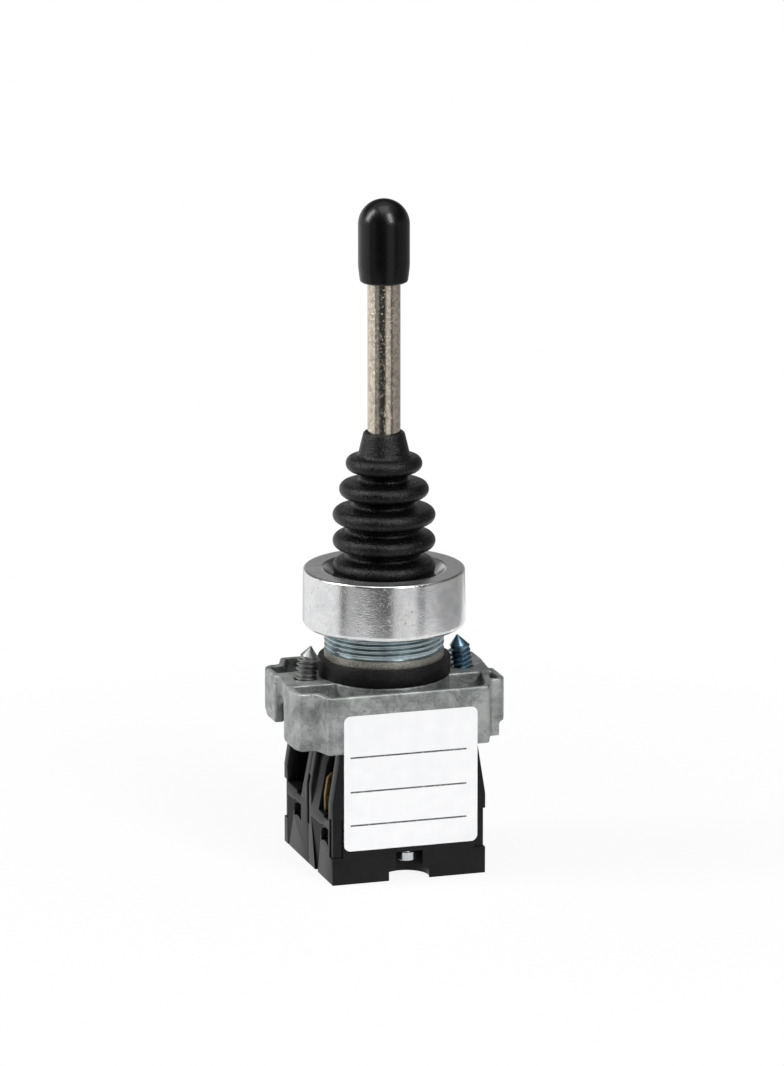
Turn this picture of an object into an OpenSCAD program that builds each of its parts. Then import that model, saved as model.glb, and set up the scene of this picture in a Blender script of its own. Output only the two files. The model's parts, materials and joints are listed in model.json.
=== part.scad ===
// Two-direction lever switch for a 22 mm panel hole, with two contact blocks behind it.
// +Z runs up the lever. The origin is on the lever axis, in the plane the blocks stand on.
// The lever tilts about X, so it leans towards -Y (front) or +Y (rear).

/* [Contact blocks] */
// Width of a block across its two ends, along X
block_l = 29.2; // [29:0.1:31]
// Width of one block along Y
block_w = 15.3; // [15.3:0.1:17]
// Height of a block
block_h = 28; // [27.5:0.1:31]
// Gap between the two blocks
block_gap = 0.1; // [0.05:0.01:0.4]
// Height of the plinth at the foot of a block
plinth_h = 5; // [4.5:0.1:6]
// How far the corner strips step in at the ends
waist_in = 0.25; // [0.1:0.05:0.5]
// Height at which the corner strips stop
waist_top = 12.3; // [12:0.1:13]
// Height at which the ends start to lean in
taper_from = 15.1; // [14:0.1:18]
// How far each end has leaned in at the collar's lower edge
taper_in = 1.5; // [0.5:0.1:2]
// Depth of the recess in each end
end_recess = 2.3; // [1.5:0.1:2.6]
// Thickness of the outer side wall
side_wall = 2.65; // [2.2:0.05:2.8]
// Thickness of the thinner side wall, at the block's other end
thin_wall = 2.15; // [1.9:0.05:2.4]
// Thickness of the wall beside the other block
inner_wall = 2; // [1.6:0.1:2.2]
// Floor of the recess above the shelf
shelf_top = 11.6; // [11.5:0.1:12.2]
// Underside of the shelf
shelf_under = 10; // [9.9:0.05:10.3]
// Width of the slot between the two blocks at each end, on each side of the parting plane
parting_w = 0.55; // [0.3:0.05:0.8]
// Depth of that slot
parting_depth = 2; // [1:0.1:3]
// Lower end of that slot
parting_low = 7.7; // [6:0.1:9]
// Upper end of that slot
parting_high = 17; // [14:0.1:19]
// Width of the strip set back at each outer corner
strip_w = 2; // [1:0.1:2.4]
// How far that strip is set back
strip_in = 0.5; // [0.2:0.05:0.8]
// Depth of the sloping panel in the end below the shelf, at its deepest
relief_depth = 1.3; // [0.6:0.05:1.5]
// How far the rib's end leans in on its way up
rib_lean = 1.7; // [1:0.1:2]
// Height at which the rib's end turns in
rib_top = 20.5; // [18:0.1:21.5]
// Height of the low step that the terminal stands behind
tab_h = 0.5; // [0.3:0.05:0.8]

/* [Contacts and terminals] */
// Thickness of the vertical terminal plate
plate_t = 0.9; // [0.6:0.05:1]
// Top of the vertical terminal plate
plate_top = 19.3; // [15:0.1:23]
// Thickness of the clamp plate that the screw goes through
clamp_t = 0.8; // [0.6:0.05:1]
// Diameter of a terminal screw
term_screw_d = 3.5; // [3:0.1:3.6]
// Diameter of a terminal screw's head
term_head_d = 5; // [4.4:0.1:5.2]
// Height of a terminal screw's head
term_head_h = 2.6; // [1.8:0.1:2.8]
// Side of the square clamp washer
washer_w = 4.4; // [4:0.1:4.5]
// Thickness of the clamp washer
washer_t = 0.8; // [0.5:0.05:1]
// Thickness of the moving contact bridge
bridge_t = 0.8; // [0.5:0.05:1]
// Length of the moving contact bridge
bridge_l = 16.8; // [15.4:0.1:17.2]
// Height of a silver contact on its arm
button_h = 0.5; // [0.3:0.05:0.6]
// Diameter of a silver contact
button_d = 2.4; // [1.8:0.1:2.6]
// Height of the arched sill of a wire's way in
wire_z = 7.3; // [7:0.1:8]
// Radius of that arch
wire_r = 4; // [3:0.1:8]

/* [Block screws] */
// Diameter of the screw end seen in the side of a block
block_head_d = 3.3; // [2.8:0.1:4.4]
// Height of that screw end
block_head_h = 1.5; // [1:0.1:1.6]
// Diameter of the screw's shank
block_screw_d = 2.5; // [2:0.1:2.8]
// Diameter of the bore around the screw end
block_bore_d = 6.2; // [5.6:0.1:6.8]
// Diameter of the wider mouth of that bore
block_mouth_d = 8.3; // [7.4:0.1:9]
// Height of the wider mouth
block_mouth_h = 1.8; // [1:0.1:2.2]
// Distance of the block screws from the block's outer face
block_screw_in = 1.75; // [1.7:0.05:2]
// Height that the block screws reach
block_screw_top = 22; // [16:0.5:24]

/* [Fixing collar] */
// Width of the collar over its ears
collar_l = 40; // [39.6:0.1:42]
// Height of the collar
collar_h = 10.8; // [10:0.1:11.4]
// Wall thickness of the casting
collar_wall = 1.1; // [0.9:0.05:1.5]
// Half the width of the bridge that carries the screws
bridge_half = 5.1; // [4.2:0.1:6]
// Depth of that bridge
bridge_depth = 4.6; // [3.5:0.1:5]
// Metal of the hub around the neck
hub_wall = 0.9; // [0.7:0.05:1.1]
// Height of the hub, from the bridge's top down to the blocks
hub_h = 7.3; // [6.8:0.1:7.6]
// Thickness of the ledge that the neck stands on
ledge_t = 1; // [0.6:0.1:1.5]
// Width of that ledge
ledge_w = 0.85; // [0.5:0.05:1.2]
// Metal around a clamp screw's thread below the bridge
boss_wall = 1.2; // [0.8:0.1:1.4]
// How far the ear's lower part is set in
ear_step = 1.3; // [0.6:0.1:1.6]
// Height of that lower part
ear_step_h = 2.6; // [1:0.1:4]
// How far the other ear ends above the collar's lower edge
ear_lift = 1.9; // [0.6:0.1:2.4]

/* [Clamp screws] */
// Thread diameter of a clamp screw
clamp_d = 4; // [3.5:0.1:4.2]
// How far a clamp screw stands out of the bridge
clamp_out = 6.1; // [3:0.1:7]
// Distance of a clamp screw's axis from the neck, at the bridge's top
clamp_room = 4; // [3.8:0.1:4.4]
// Lean of a clamp screw towards the axis, in degrees
clamp_lean = 9.5; // [6:0.5:11]
// Length of the conical tip
clamp_tip = 1.9; // [1:0.1:2.4]
// Diameter of a clamp screw's head
clamp_head_d = 4.8; // [4.4:0.1:5]
// Height of a clamp screw's head
clamp_head_h = 2.2; // [1.6:0.1:2.4]

/* [Sealing ring] */
// Width of the sealing ring around the neck
ring_w = 1.15; // [0.9:0.05:1.5]
// Height of the sealing ring
ring_h = 3.3; // [2:0.1:4]

/* [Neck and bezel] */
// Outside diameter of the neck that goes through the panel
neck_d = 22; // [21.8:0.05:22.2]
// Bore of the neck
neck_bore = 19; // [18.8:0.1:19.4]
// Room for the panel between the bezel and the sealing ring
panel_room = 5.9; // [4:0.1:7]
// Outside diameter of the bezel at its foot
bezel_d = 29.8; // [28.6:0.1:33]
// Height of the bezel
bezel_h = 10.6; // [10.2:0.1:12]
// How much narrower the bezel is at its top
bezel_draft = 0.2; // [0:0.05:0.6]
// Rounding of the bezel's lower edge
bezel_round = 0.9; // [0.4:0.1:1.2]
// Rounding of the bezel's top edge
rim_round = 0.4; // [0.2:0.05:0.7]
// Diameter of the dished mouth at the bezel's top face
mouth_d = 22.4; // [21:0.1:23.5]
// Diameter of the hole in the lip under the mouth
lip_d = 19.2; // [18.8:0.1:19.8]
// Depth of the dished mouth
mouth_depth = 2.1; // [1.5:0.1:2.4]
// Thickness of the lip
lip_t = 1; // [0.6:0.1:1.4]

/* [Lever] */
// Diameter of the lever rod
rod_d = 6; // [5:0.1:6.2]
// Length of the lever rod
rod_l = 68.3; // [60:0.1:90]
// Diameter of the knob
knob_d = 9.4; // [8.8:0.1:14]
// Height of the knob
knob_h = 15.3; // [15.2:0.1:24]
// Depth of the socket in the knob
knob_socket = 10; // [6:0.1:10.2]
// Height of the knob's tapered foot
knob_foot = 3; // [1.5:0.1:4]
// How much narrower the knob is at its foot, on each side
knob_taper = 0.3; // [0.1:0.05:0.7]
// How far the lever tilts each way, in degrees
tilt = 15; // [5:1:15]
// Height of the pivot above the panel's face
pivot_up = 3; // [2.8:0.1:3.4]
// Diameter of the pivot pin
pin_d = 3; // [2.4:0.1:3]
// Diameter of the pin that holds the rod in the rocker
rod_pin_d = 1.5; // [1:0.1:1.8]

/* [Rocker and push rods] */
// Diameter of the rocker's hub
rocker_d = 9.2; // [8.8:0.1:9.4]
// Distance of each push rod from the lever axis
arm = 7; // [6.8:0.1:7.2]
// Width of the rocker's arms
arm_w = 4; // [2.5:0.1:4.4]
// Diameter of a rocker nose
nose_d = 3.2; // [2.4:0.1:3.4]
// How far the noses hang below the pivot
nose_drop = 1; // [0.6:0.1:1.4]
// Diameter of a push rod
push_d = 3; // [2.4:0.1:3.2]
// Diameter of a carrier's button, which the push rod stands on
plunger_d = 4.4; // [4:0.1:4.8]
// How far a button stands above its block at rest
plunger_up = 0.3; // [0.2:0.05:0.8]
// Width of a carrier along X
carrier_w = 4.8; // [4:0.1:5.4]
// Thickness of the guide plate in the neck
guide_t = 3; // [2:0.1:3.2]
// Depth of the rod's socket in the rocker
socket_depth = 3.5; // [3:0.1:5]
// Half the width of a carrier along Y
carrier_half = 2.9; // [2.7:0.1:3]
// Diameter of the peg that centres a return spring
peg_d = 2.4; // [1.8:0.1:2.6]
// Length of that peg
peg_l = 1.5; // [0.8:0.1:2]

/* [Detent] */
// Width of the rocker's tail
tail_w = 5.2; // [4.8:0.1:5.4]
// Diameter of the detent ball
ball_d = 3.4; // [3:0.1:3.6]
// Distance of the ball's centre from the pivot
ball_drop = 7; // [6.8:0.1:7.4]
// Diameter of a notch
notch_d = 1.6; // [1.2:0.1:2]
// Depth of a notch
notch_depth = 0.35; // [0.2:0.05:0.45]

/* [Boot] */
// Number of rolls
rolls = 5; // [3:1:6]
// Distance between rolls
roll_pitch = 4.8; // [4.4:0.1:5]
// Thickness of a roll
roll_d = 2.8; // [2.5:0.1:3.4]
// Depth of the valleys between the rolls
valley_depth = 2.6; // [1.8:0.1:2.8]
// Diameter over the widest rolls
boot_d = 18.8; // [17.8:0.1:19]
// How much each roll above the third draws in
roll_step = 1.2; // [0.6:0.1:1.3]
// Rubber thickness
rubber = 1; // [0.6:0.1:1.2]
// Height of the tapered top of the boot
boot_neck_h = 4.4; // [2:0.1:6]
// Diameter at the very top of the boot
boot_top_d = 8.2; // [7.8:0.1:8.4]
// Thickness of the flange held under the bezel's lip
flange_t = 1; // [0.6:0.1:1.4]

/* [Label] */
// Width of the blank label
label_w = 25.4; // [15:0.1:26]
// Height of the blank label
label_h = 25.4; // [15:0.1:26]
// Thickness of the label
label_t = 0.12; // [0.08:0.01:0.3]
// Height of the label's lower edge
label_up = 6.3; // [5:0.1:9]
// Radius of the label's corners
label_r = 1.2; // [0.4:0.1:3]
// How far the label sits off centre
label_off = 0.3; // [-0.8:0.1:0.8]

/* [Clearances] */
// Radial clearance of a running fit
run = 0.05; // [0.02:0.01:0.09]
// Clearance between pieces that are fixed together
seat = 0.02; // [0.01:0.01:0.05]
// Gap between moving pieces that press on one another
touch = 0.1; // [0.06:0.01:0.15]
// Clearance beside pieces that slide or swing freely
side_play = 0.3; // [0.2:0.05:0.4]

/* [Hidden] */

$fn = 64;
eps = 0.01;
over = 1; // how far a cutter runs past the face it opens
weld = 0.2; // how far a web runs into the wall that carries it
socket_floor = 0.95; // metal between the pivot pin and the rod's socket

hub_d = neck_d + 2 * hub_wall;
ring_d = neck_d + 2 * ring_w;
clamp_x = neck_d / 2 + clamp_room;

// Heights, from the blocks' foot to the knob
collar_top = block_h + hub_h;
collar_low = collar_top - collar_h;
neck_low = block_h + ledge_t;
panel_back = collar_top + ring_h;
panel_face = panel_back + panel_room;
bezel_top = panel_face + bezel_h;
lip_low = bezel_top - mouth_depth - lip_t;
neck_top = lip_low - flange_t;
pivot_z = panel_face + pivot_up;
socket_low = pivot_z + pin_d / 2 + run + socket_floor;
rocker_top = socket_low + socket_depth;
rod_pin_z = socket_low + 1.8;
rod_top = socket_low + rod_l;
knob_low = rod_top - knob_socket;
knob_top = knob_low + knob_h;

// Blocks
end_x = block_l / 2;
near_y = block_gap / 2;
far_y = near_y + block_w;
label_y = far_y;
taper_x = end_x - taper_in;
recess_x = end_x - end_recess;
pocket_x = 9.2;
term_x = 11.3;
wall_y = far_y - side_wall;
term_y = wall_y - washer_w / 2 - run;
plate_y = term_y - washer_w / 2 - run;
block_screw_y = far_y - block_screw_in;
washer_low = 6.2;
clamp_top = shelf_under - touch;
plate_from = pocket_x + touch;
edge_x = end_x - 0.8; // outer edge of the terminal's plate
inner_edge_x = edge_x - 2.1; // and at the block's other end
step_x = end_x - 1.7; // a pocket's side steps in here
rib_y = near_y + 6.25; // the rib lies between the inner wall and here
thin_rib_y = near_y + 4.65; // and at the other end up to here
turn_y = 8.6; // below the shelf the other end is the first one turned about this line
plate_corner = 0.9;
cavity_x = carrier_w / 2 + 2.5;
cavity_half = carrier_half + side_play;
cavity_low = 3;
cavity_top = block_h - 1.8;
pocket_high = collar_low + 0.5;

// Push rods and carriers move this far each way
travel = arm * tilt * PI / 180;
nose_z = pivot_z - nose_drop;
push_top = nose_z - nose_d / 2 - touch;
push_low = block_h + plunger_up;
guide_top = collar_top + 0.7;
guide_low = guide_top - guide_t;
stroke_spare = 0.17; // left over when a carrier is at its highest
stem_top = cavity_top - travel - stroke_spare;
stem_low = 9;
chamber_low = 9.9;
chamber_x = bridge_l / 2 + 0.2;
arm_low = shelf_under;
arm_t = 0.7;
arm_half = 1.4;
contact_top = arm_low + arm_t + button_h;
contact_gap = 0.07; // left between the contacts at the end of the travel
bridge_low = contact_top + travel + contact_gap;
bridge_near = 1.95; // the bridge reaches this far from the push rod, towards the other block
bridge_far = 1.3; // and this far away from it
window_top = stem_top - 2.5;
chamber_top = bridge_low + bridge_t + travel + touch + 0.8;
return_mean = 3.4; // mean diameter and wire of the springs
return_wire = 0.5;
contact_mean = 2.2;
contact_wire = 0.4;
detent_mean = 2.4;
detent_wire = 0.4;

// Detent
tail_low = pivot_z - ball_drop + 1;
detent_shoulder = tail_low + 1.7;
detent_roof = pivot_z - pin_d / 2 - 0.6;
cam_r = ball_drop + ball_d / 2 + run;

// Boot
first_roll_z = bezel_top + 0.3;
boot_core_top = first_roll_z + (rolls - 1) * roll_pitch + roll_d / 2 + 0.1;
boot_top = boot_core_top + boot_neck_h;
skirt_d = lip_d - 2 * side_play;

// Shapes ------------------------------------------------------------------

function unit(v) = v / norm(v);
function left_of(v) = [-v[1], v[0]];

// The polygon p, turning anticlockwise, with every side moved in by t
function inset(p, t) = [
    for (i = [0 : len(p) - 1])
        let (
            a = p[(i + len(p) - 1) % len(p)],
            b = p[i],
            c = p[(i + 1) % len(p)],
            n1 = left_of(unit(b - a)),
            n2 = left_of(unit(c - b))
        )
        b + t * (n1 + n2) / (1 + n1 * n2)
];

// The polygon p with each corner rounded by r, in n steps
function rounded(p, r, n = 4) = [
    for (i = [0 : len(p) - 1])
        let (
            a = p[(i + len(p) - 1) % len(p)],
            b = p[i],
            c = p[(i + 1) % len(p)],
            u = unit(a - b),
            v = unit(c - b),
            half = acos(max(-1, min(1, u * v))) / 2,
            back = min(r / tan(half), norm(a - b) * 0.45, norm(c - b) * 0.45),
            rr = back * tan(half),
            o = b + unit(u + v) * rr / sin(half),
            s = b + u * back - o,
            e = b + v * back - o,
            a0 = atan2(s[1], s[0]),
            turn = atan2(s[0] * e[1] - s[1] * e[0], s * e)
        )
        for (k = [0 : n]) o + rr * [cos(a0 + turn * k / n), sin(a0 + turn * k / n)]
];

module slab(x0, x1, y0, y1, z0, z1) {
    translate([x0, y0, z0])
        cube([x1 - x0, y1 - y0, z1 - z0]);
}

module rod_z(d, z0, z1, x = 0, y = 0) {
    translate([x, y, z0])
        cylinder(d = d, h = z1 - z0);
}

// A closed wire coil about Z
module coil(mean_d, wire, z0, z1, turns, steps = 12, sides = 6) {
    count = turns * steps;
    z_first = z0 + wire / 2;
    rise = z1 - z0 - wire;
    function ring(i) = [
        for (j = [0 : sides - 1])
            let (
                r = mean_d / 2 + wire / 2 * cos(360 * j / sides),
                a = 360 * i / steps
            )
            [r * cos(a), r * sin(a), z_first + rise * i / count + wire / 2 * sin(360 * j / sides)]
    ];
    points = [for (i = [0 : count]) each ring(i)];
    walls = [
        for (i = [0 : count - 1], j = [0 : sides - 1])
            [
                i * sides + j,
                (i + 1) * sides + j,
                (i + 1) * sides + (j + 1) % sides,
                i * sides + (j + 1) % sides
            ]
    ];
    first = [for (j = [0 : sides - 1]) j];
    last = [for (j = [0 : sides - 1]) count * sides + sides - 1 - j];
    polyhedron(points = points, faces = concat(walls, [first, last]), convexity = 8);
}

// Both halves of the part: the front one is drawn as the rear one turned about Z
module front() {
    rotate([0, 0, 180])
        children();
}

module both_blocks() {
    children();
    front()
        children();
}

// Each end of a block, as drawn at +X
module both_ends() {
    children();
    mirror([1, 0, 0])
        children();
}

// A block's other end, as the one drawn at +X turned half way round
module other_end() {
    translate([0, 2 * turn_y, 0])
        rotate([0, 0, 180])
            children();
}

module both_turned() {
    children();
    other_end()
        children();
}

// Neck, bezel and seals ------------------------------------------------------

module bezel() {
    foot_r = bezel_d / 2;
    top_r = foot_r - bezel_draft / 2;
    color("gainsboro")
        difference() {
            rotate_extrude($fn = 128)
                union() {
                    polygon([
                        [0, panel_face],
                        [foot_r - bezel_round, panel_face],
                        [foot_r, panel_face + bezel_round],
                        [top_r, bezel_top - rim_round],
                        [top_r - rim_round, bezel_top],
                        [0, bezel_top]
                    ]);
                    translate([foot_r - bezel_round, panel_face + bezel_round])
                        circle(r = bezel_round, $fn = 48);
                    translate([top_r - rim_round, bezel_top - rim_round])
                        circle(r = rim_round, $fn = 32);
                }
            rod_z(neck_d + 2 * seat, panel_face - over, lip_low);
            rod_z(lip_d, lip_low - eps, bezel_top);
            translate([0, 0, bezel_top - mouth_depth])
                cylinder(d1 = lip_d, d2 = mouth_d, h = mouth_depth);
            translate([0, 0, bezel_top])
                cylinder(d = mouth_d, h = over);
        }
}

module pivot_bosses() {
    intersection() {
        both_ends()
            slab(
                rocker_d / 2 + side_play, neck_d / 2,
                -pin_d, pin_d,
                pivot_z - pin_d, pivot_z + pin_d
            );
        rod_z(neck_bore + 2 * weld, neck_low, neck_top);
    }
}

module neck() {
    color("lightslategray")
        difference() {
            union() {
                difference() {
                    rod_z(neck_d, neck_low, neck_top);
                    rod_z(neck_bore, neck_low - over, neck_top + over);
                }
                pivot_bosses();
                rod_z(neck_bore + 2 * weld, guide_low, guide_top);
            }
            translate([-neck_d, 0, pivot_z])
                rotate([0, 90, 0])
                    cylinder(d = pin_d + 2 * seat, h = 2 * neck_d);
            for (side = [-1, 1])
                rod_z(push_d + 2 * run, guide_low - over, guide_top + over, y = side * arm);
        }
}

module sealing_ring() {
    color("dimgray")
        difference() {
            rod_z(ring_d, collar_top, panel_back, $fn = 96);
            rod_z(neck_d + 2 * seat, collar_top - over, panel_back + over, $fn = 96);
        }
}

module square_ring(r0, r1, z0, z1) {
    translate([r0, z0])
        square([r1 - r0, z1 - z0]);
}

function roll_edge(i) = boot_d / 2 - roll_step * max(0, i - rolls + 3);
function roll_z(i) = first_roll_z + i * roll_pitch;

// Each roll is a rounded fold that stands out of the core
module boot_profile(grow) {
    for (i = [0 : rolls - 1]) {
        translate([roll_edge(i) - roll_d / 2, roll_z(i)])
            circle(d = roll_d + 2 * grow, $fn = 32);
        square_ring(
            roll_edge(i) - valley_depth - 0.5, roll_edge(i) - roll_d / 2,
            roll_z(i) - roll_d / 2 - grow, roll_z(i) + roll_d / 2 + grow
        );
    }
    polygon(concat(
        [
            [0, neck_top + flange_t + grow],
            [skirt_d / 2 + grow, neck_top + flange_t + grow],
            [skirt_d / 2 + grow, first_roll_z - roll_d / 2]
        ],
        [for (i = [0 : rolls - 1]) [roll_edge(i) - valley_depth + grow, roll_z(i)]],
        [
            [boot_top_d / 2 + 0.6 + grow, boot_core_top + grow],
            [0, boot_core_top + grow]
        ]
    ));
}

module boot() {
    color([0.13, 0.13, 0.14])
        rotate_extrude($fn = 96)
            difference() {
                union() {
                    boot_profile(0);
                    polygon([
                        [0, boot_core_top - 1],
                        [boot_top_d / 2 + 0.6, boot_core_top - 1],
                        [boot_top_d / 2 - 0.6, boot_top],
                        [0, boot_top]
                    ]);
                    square_ring(0, neck_d / 2 - 0.4, neck_top, neck_top + flange_t);
                }
                boot_profile(-rubber);
                square_ring(0, skirt_d / 2 - rubber, neck_top - over, neck_top + flange_t + eps);
                square_ring(0, rod_d / 2 + seat, neck_top, boot_top + over);
            }
}

// Fixing collar --------------------------------------------------------------

// The front half of the collar's outline: the rear half is the same, turned half way round
collar_half = [
    [-collar_l / 2, 3.1],
    [-collar_l / 2 + 0.7, 3.0],
    [-collar_l / 2 + 0.7, 2.2],
    [-collar_l / 2, -4.5],
    [-collar_l / 2, -8.8],
    [-collar_l / 2 + 0.8, -11.1],
    [-collar_l / 2 + 3.6, -11.2],
    [-collar_l / 2 + 4.8, -far_y],
    [collar_l / 2 - 4.7, -far_y],
    [collar_l / 2 - 3.1, -11.05],
    [collar_l / 2 - 1.1, -11.05],
    [collar_l / 2, -9.6]
];
collar_outline = concat(collar_half, [for (p = collar_half) -p]);
ear_near = 3; // the ear's outer wall runs from here
ear_far = 9.4; // to here, measured from the clamp screw
head_from = -ear_near - 0.05; // the room for the screw's head runs from here
head_open = 1.4; // to here, where it opens through the side wall
head_top = collar_top - bridge_depth - 0.5;
notch_from = -2.9; // the notch in the ear's wall above that head
notch_to = 1.2;
notch_low = collar_top - 3.2;

module collar_section() {
    polygon(rounded(collar_outline, 0.9));
}

// Slanting web between the front ear's pocket and the pocket along the front
module ear_web() {
    x = collar_l / 2;
    translate([0, 0, collar_low])
        linear_extrude(height = collar_h)
            polygon([
                [x - 3.2, -11.3],
                [x - 2.8, -10],
                [x - 1.6, -bridge_half + weld],
                [x - 3, -bridge_half + weld],
                [x - 4.2, -10.5]
            ]);
}

// Cut under the rear ear: its lower edge is higher than the collar's and rises at the back
module under_rear_ear() {
    front()
        translate([collar_l / 2 - 2 * ear_step, 0, collar_low])
            rotate([90, 0, 90])
                linear_extrude(height = 2 * ear_step + over)
                    polygon([
                        [-far_y, -over],
                        [-ear_near, -over],
                        [-ear_near, ear_lift],
                        [-ear_far + 1.2, ear_lift],
                        [-ear_far, ear_lift + 1],
                        [-far_y, ear_lift + 1]
                    ]);
}

module on_clamp_axis() {
    both_blocks()
        translate([clamp_x, 0, collar_top])
            rotate([0, -clamp_lean, 0])
                children();
}

module collar() {
    color("darkgray")
        difference() {
            union() {
                translate([0, 0, collar_low])
                    linear_extrude(height = collar_h)
                        difference() {
                            collar_section();
                            polygon(rounded(inset(collar_outline, collar_wall), 0.5, 3));
                        }
                slab(
                    -collar_l / 2 + collar_wall, collar_l / 2 - collar_wall,
                    -bridge_half, bridge_half,
                    collar_top - bridge_depth, collar_top
                );
                rod_z(hub_d, block_h, collar_top);
                intersection() {
                    on_clamp_axis()
                        translate([0, 0, -bridge_depth - 1])
                            cylinder(d = clamp_d + 2 * boss_wall, h = bridge_depth);
                    translate([0, 0, collar_low])
                        linear_extrude(height = collar_h)
                            collar_section();
                }
                slab(
                    collar_l / 2 - ear_step - collar_wall, collar_l / 2 - ear_step,
                    -ear_far, -ear_near - side_play,
                    collar_low + 0.6, collar_top - bridge_depth
                );
                ear_web();
            }
            rod_z(neck_d + 2 * seat, neck_low, collar_top + over);
            rod_z(neck_d - 2 * ledge_w, block_h - over, neck_low + eps);
            on_clamp_axis()
                translate([0, 0, -2 * collar_h])
                    cylinder(d = clamp_d + 2 * run, h = 3 * collar_h);
            both_blocks() {
                // room for the screw's head, open through the side wall
                slab(
                    collar_l / 2 - clamp_head_d - weld, collar_l / 2 - collar_wall,
                    head_from, clamp_head_d / 2 + touch,
                    collar_low - over, head_top
                );
                slab(
                    collar_l / 2 - collar_wall - eps, collar_l / 2 + over,
                    head_from, head_open,
                    collar_low - over, head_top
                );
                slab(
                    collar_l / 2 - collar_wall - side_play, collar_l / 2 + over,
                    notch_from, notch_to,
                    collar_low - over, notch_low
                );
            }
            // each ear's outer wall stops short of the lower edge
            slab(
                collar_l / 2 - ear_step, collar_l / 2 + over,
                -far_y, -ear_near,
                collar_low - over, collar_low + ear_step_h
            );
            under_rear_ear();
            // room for the blocks' tops
            slab(
                -taper_x - side_play, taper_x + side_play,
                -far_y + collar_wall, far_y - collar_wall,
                collar_low - over, block_h
            );
        }
}

module clamp_screw() {
    head_low = -bridge_depth - 1.1 - clamp_head_h;
    difference() {
        union() {
            translate([0, 0, head_low])
                cylinder(d = clamp_head_d, h = clamp_head_h);
            translate([0, 0, head_low + clamp_head_h / 2])
                cylinder(d = clamp_d, h = clamp_out - clamp_tip - head_low - clamp_head_h / 2);
            translate([0, 0, clamp_out - clamp_tip])
                cylinder(d1 = clamp_d - 0.6, d2 = 0.2, h = clamp_tip);
        }
        translate([-0.4, -clamp_head_d, head_low - over])
            cube([0.8, 2 * clamp_head_d, over + 1.2]);
        translate([-clamp_head_d, -0.4, head_low - over])
            cube([2 * clamp_head_d, 0.8, over + 1.2]);
    }
}

module clamp_screws() {
    color("slategray")
        on_clamp_axis()
            clamp_screw();
}

// Contact blocks, drawn for the rear one ---------------------------------------

lean = taper_in / (collar_low - taper_from);

module end_view() {
    side = [
        [end_x, 0],
        [end_x, taper_from],
        [taper_x, collar_low],
        [taper_x - 0.2, block_h]
    ];
    polygon(concat(side, [for (i = [len(side) - 1 : -1 : 0]) [-side[i][0], side[i][1]]]));
}

// The brass piece at one end. grow widens it all round, for the slot it sits in.
// Its arm carries the fixed contact, whose middle is at contact_y. The plate ends at to_x
module terminal_shape(contact_y, to_x, grow = 0) {
    plate_foot_x = min(recess_x, to_x - touch);
    top_x = to_x - lean * (plate_top - plate_corner - taper_from);
    // upright plate, its outer edge parallel to the block's end
    translate([0, plate_y + grow, 0])
        rotate([90, 0, 0])
            linear_extrude(height = plate_t + 2 * grow)
                polygon([
                    [plate_from - grow, clamp_top - clamp_t - grow],
                    [plate_foot_x + grow, clamp_top - clamp_t - grow],
                    [plate_foot_x + grow, shelf_top],
                    [to_x + grow, shelf_top],
                    [to_x + grow, taper_from],
                    [top_x + grow, plate_top - plate_corner + grow],
                    [top_x - plate_corner + grow, plate_top + grow],
                    [plate_from - grow, plate_top + grow]
                ]);
    // clamp plate
    slab(
        plate_from - grow, recess_x + grow,
        plate_y - plate_t - grow, wall_y - touch + grow,
        clamp_top - clamp_t - grow, clamp_top + grow
    );
    // arm of the fixed contact
    slab(
        arm - arm_half - grow, plate_from + touch,
        min(contact_y - arm_half, plate_y - plate_t) - grow,
        max(contact_y + arm_half, plate_y) + grow,
        arm_low - grow, arm_low + arm_t + grow
    );
}

module housing() {
    color([0.16, 0.16, 0.17])
        difference() {
            translate([0, far_y, 0])
                rotate([90, 0, 0])
                    linear_extrude(height = block_w)
                        end_view();
            // the top goes up inside the collar
            slab(
                -block_l, block_l,
                far_y - collar_wall - side_play, far_y + over,
                collar_low - touch, block_h + over
            );
            // carrier's cavity and the chamber of the moving contact
            slab(
                -cavity_x, cavity_x,
                arm - cavity_half, arm + cavity_half,
                cavity_low, cavity_top
            );
            slab(
                -chamber_x, chamber_x,
                arm - bridge_near - 0.65, arm + bridge_far + touch,
                chamber_low, chamber_top
            );
            rod_z(plunger_d + 2 * run, cavity_top - over, block_h + over, y = arm);
            // the screw that holds the block
            rod_z(block_mouth_d, -over, block_mouth_h, y = block_screw_y);
            rod_z(block_bore_d, 0, plinth_h + 0.35, y = block_screw_y);
            rod_z(block_screw_d + 2 * seat, plinth_h, block_screw_top + touch, y = block_screw_y);
            both_ends() {
                corner_strip();
                parting_slot();
            }
            both_turned()
                clamp_space();
            // one end: wide rib, terminal beside the thicker wall
            above_rib(rib_y);
            terminal_pocket(rib_y, wall_y, rib_y, rib_y + 3.6);
            terminal_shape(arm, edge_x, seat);
            lower_relief(near_y + inner_wall - 0.3, 4.4, 5.6);
            // the other end: narrow rib, wider pocket
            mirror([1, 0, 0]) {
                above_rib(thin_rib_y);
                terminal_pocket(thin_rib_y, far_y - thin_wall, thin_rib_y + 2.3, far_y);
            }
            other_end() {
                terminal_shape(2 * turn_y - arm, inner_edge_x, seat);
                lower_relief(2 * turn_y - far_y + 1.9, 4, 4.4);
            }
        }
}

// Sloping end of the rib that stands beside the inner wall, above the shelf
module above_rib(to_y) {
    translate([0, to_y + eps, 0])
        rotate([90, 0, 0])
            linear_extrude(height = to_y + eps - near_y - inner_wall)
                polygon([
                    [end_x, shelf_top],
                    [end_x + over, shelf_top],
                    [end_x + over, pocket_high],
                    [end_x - 2 * rib_lean, pocket_high],
                    [end_x - rib_lean, rib_top]
                ]);
}

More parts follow.
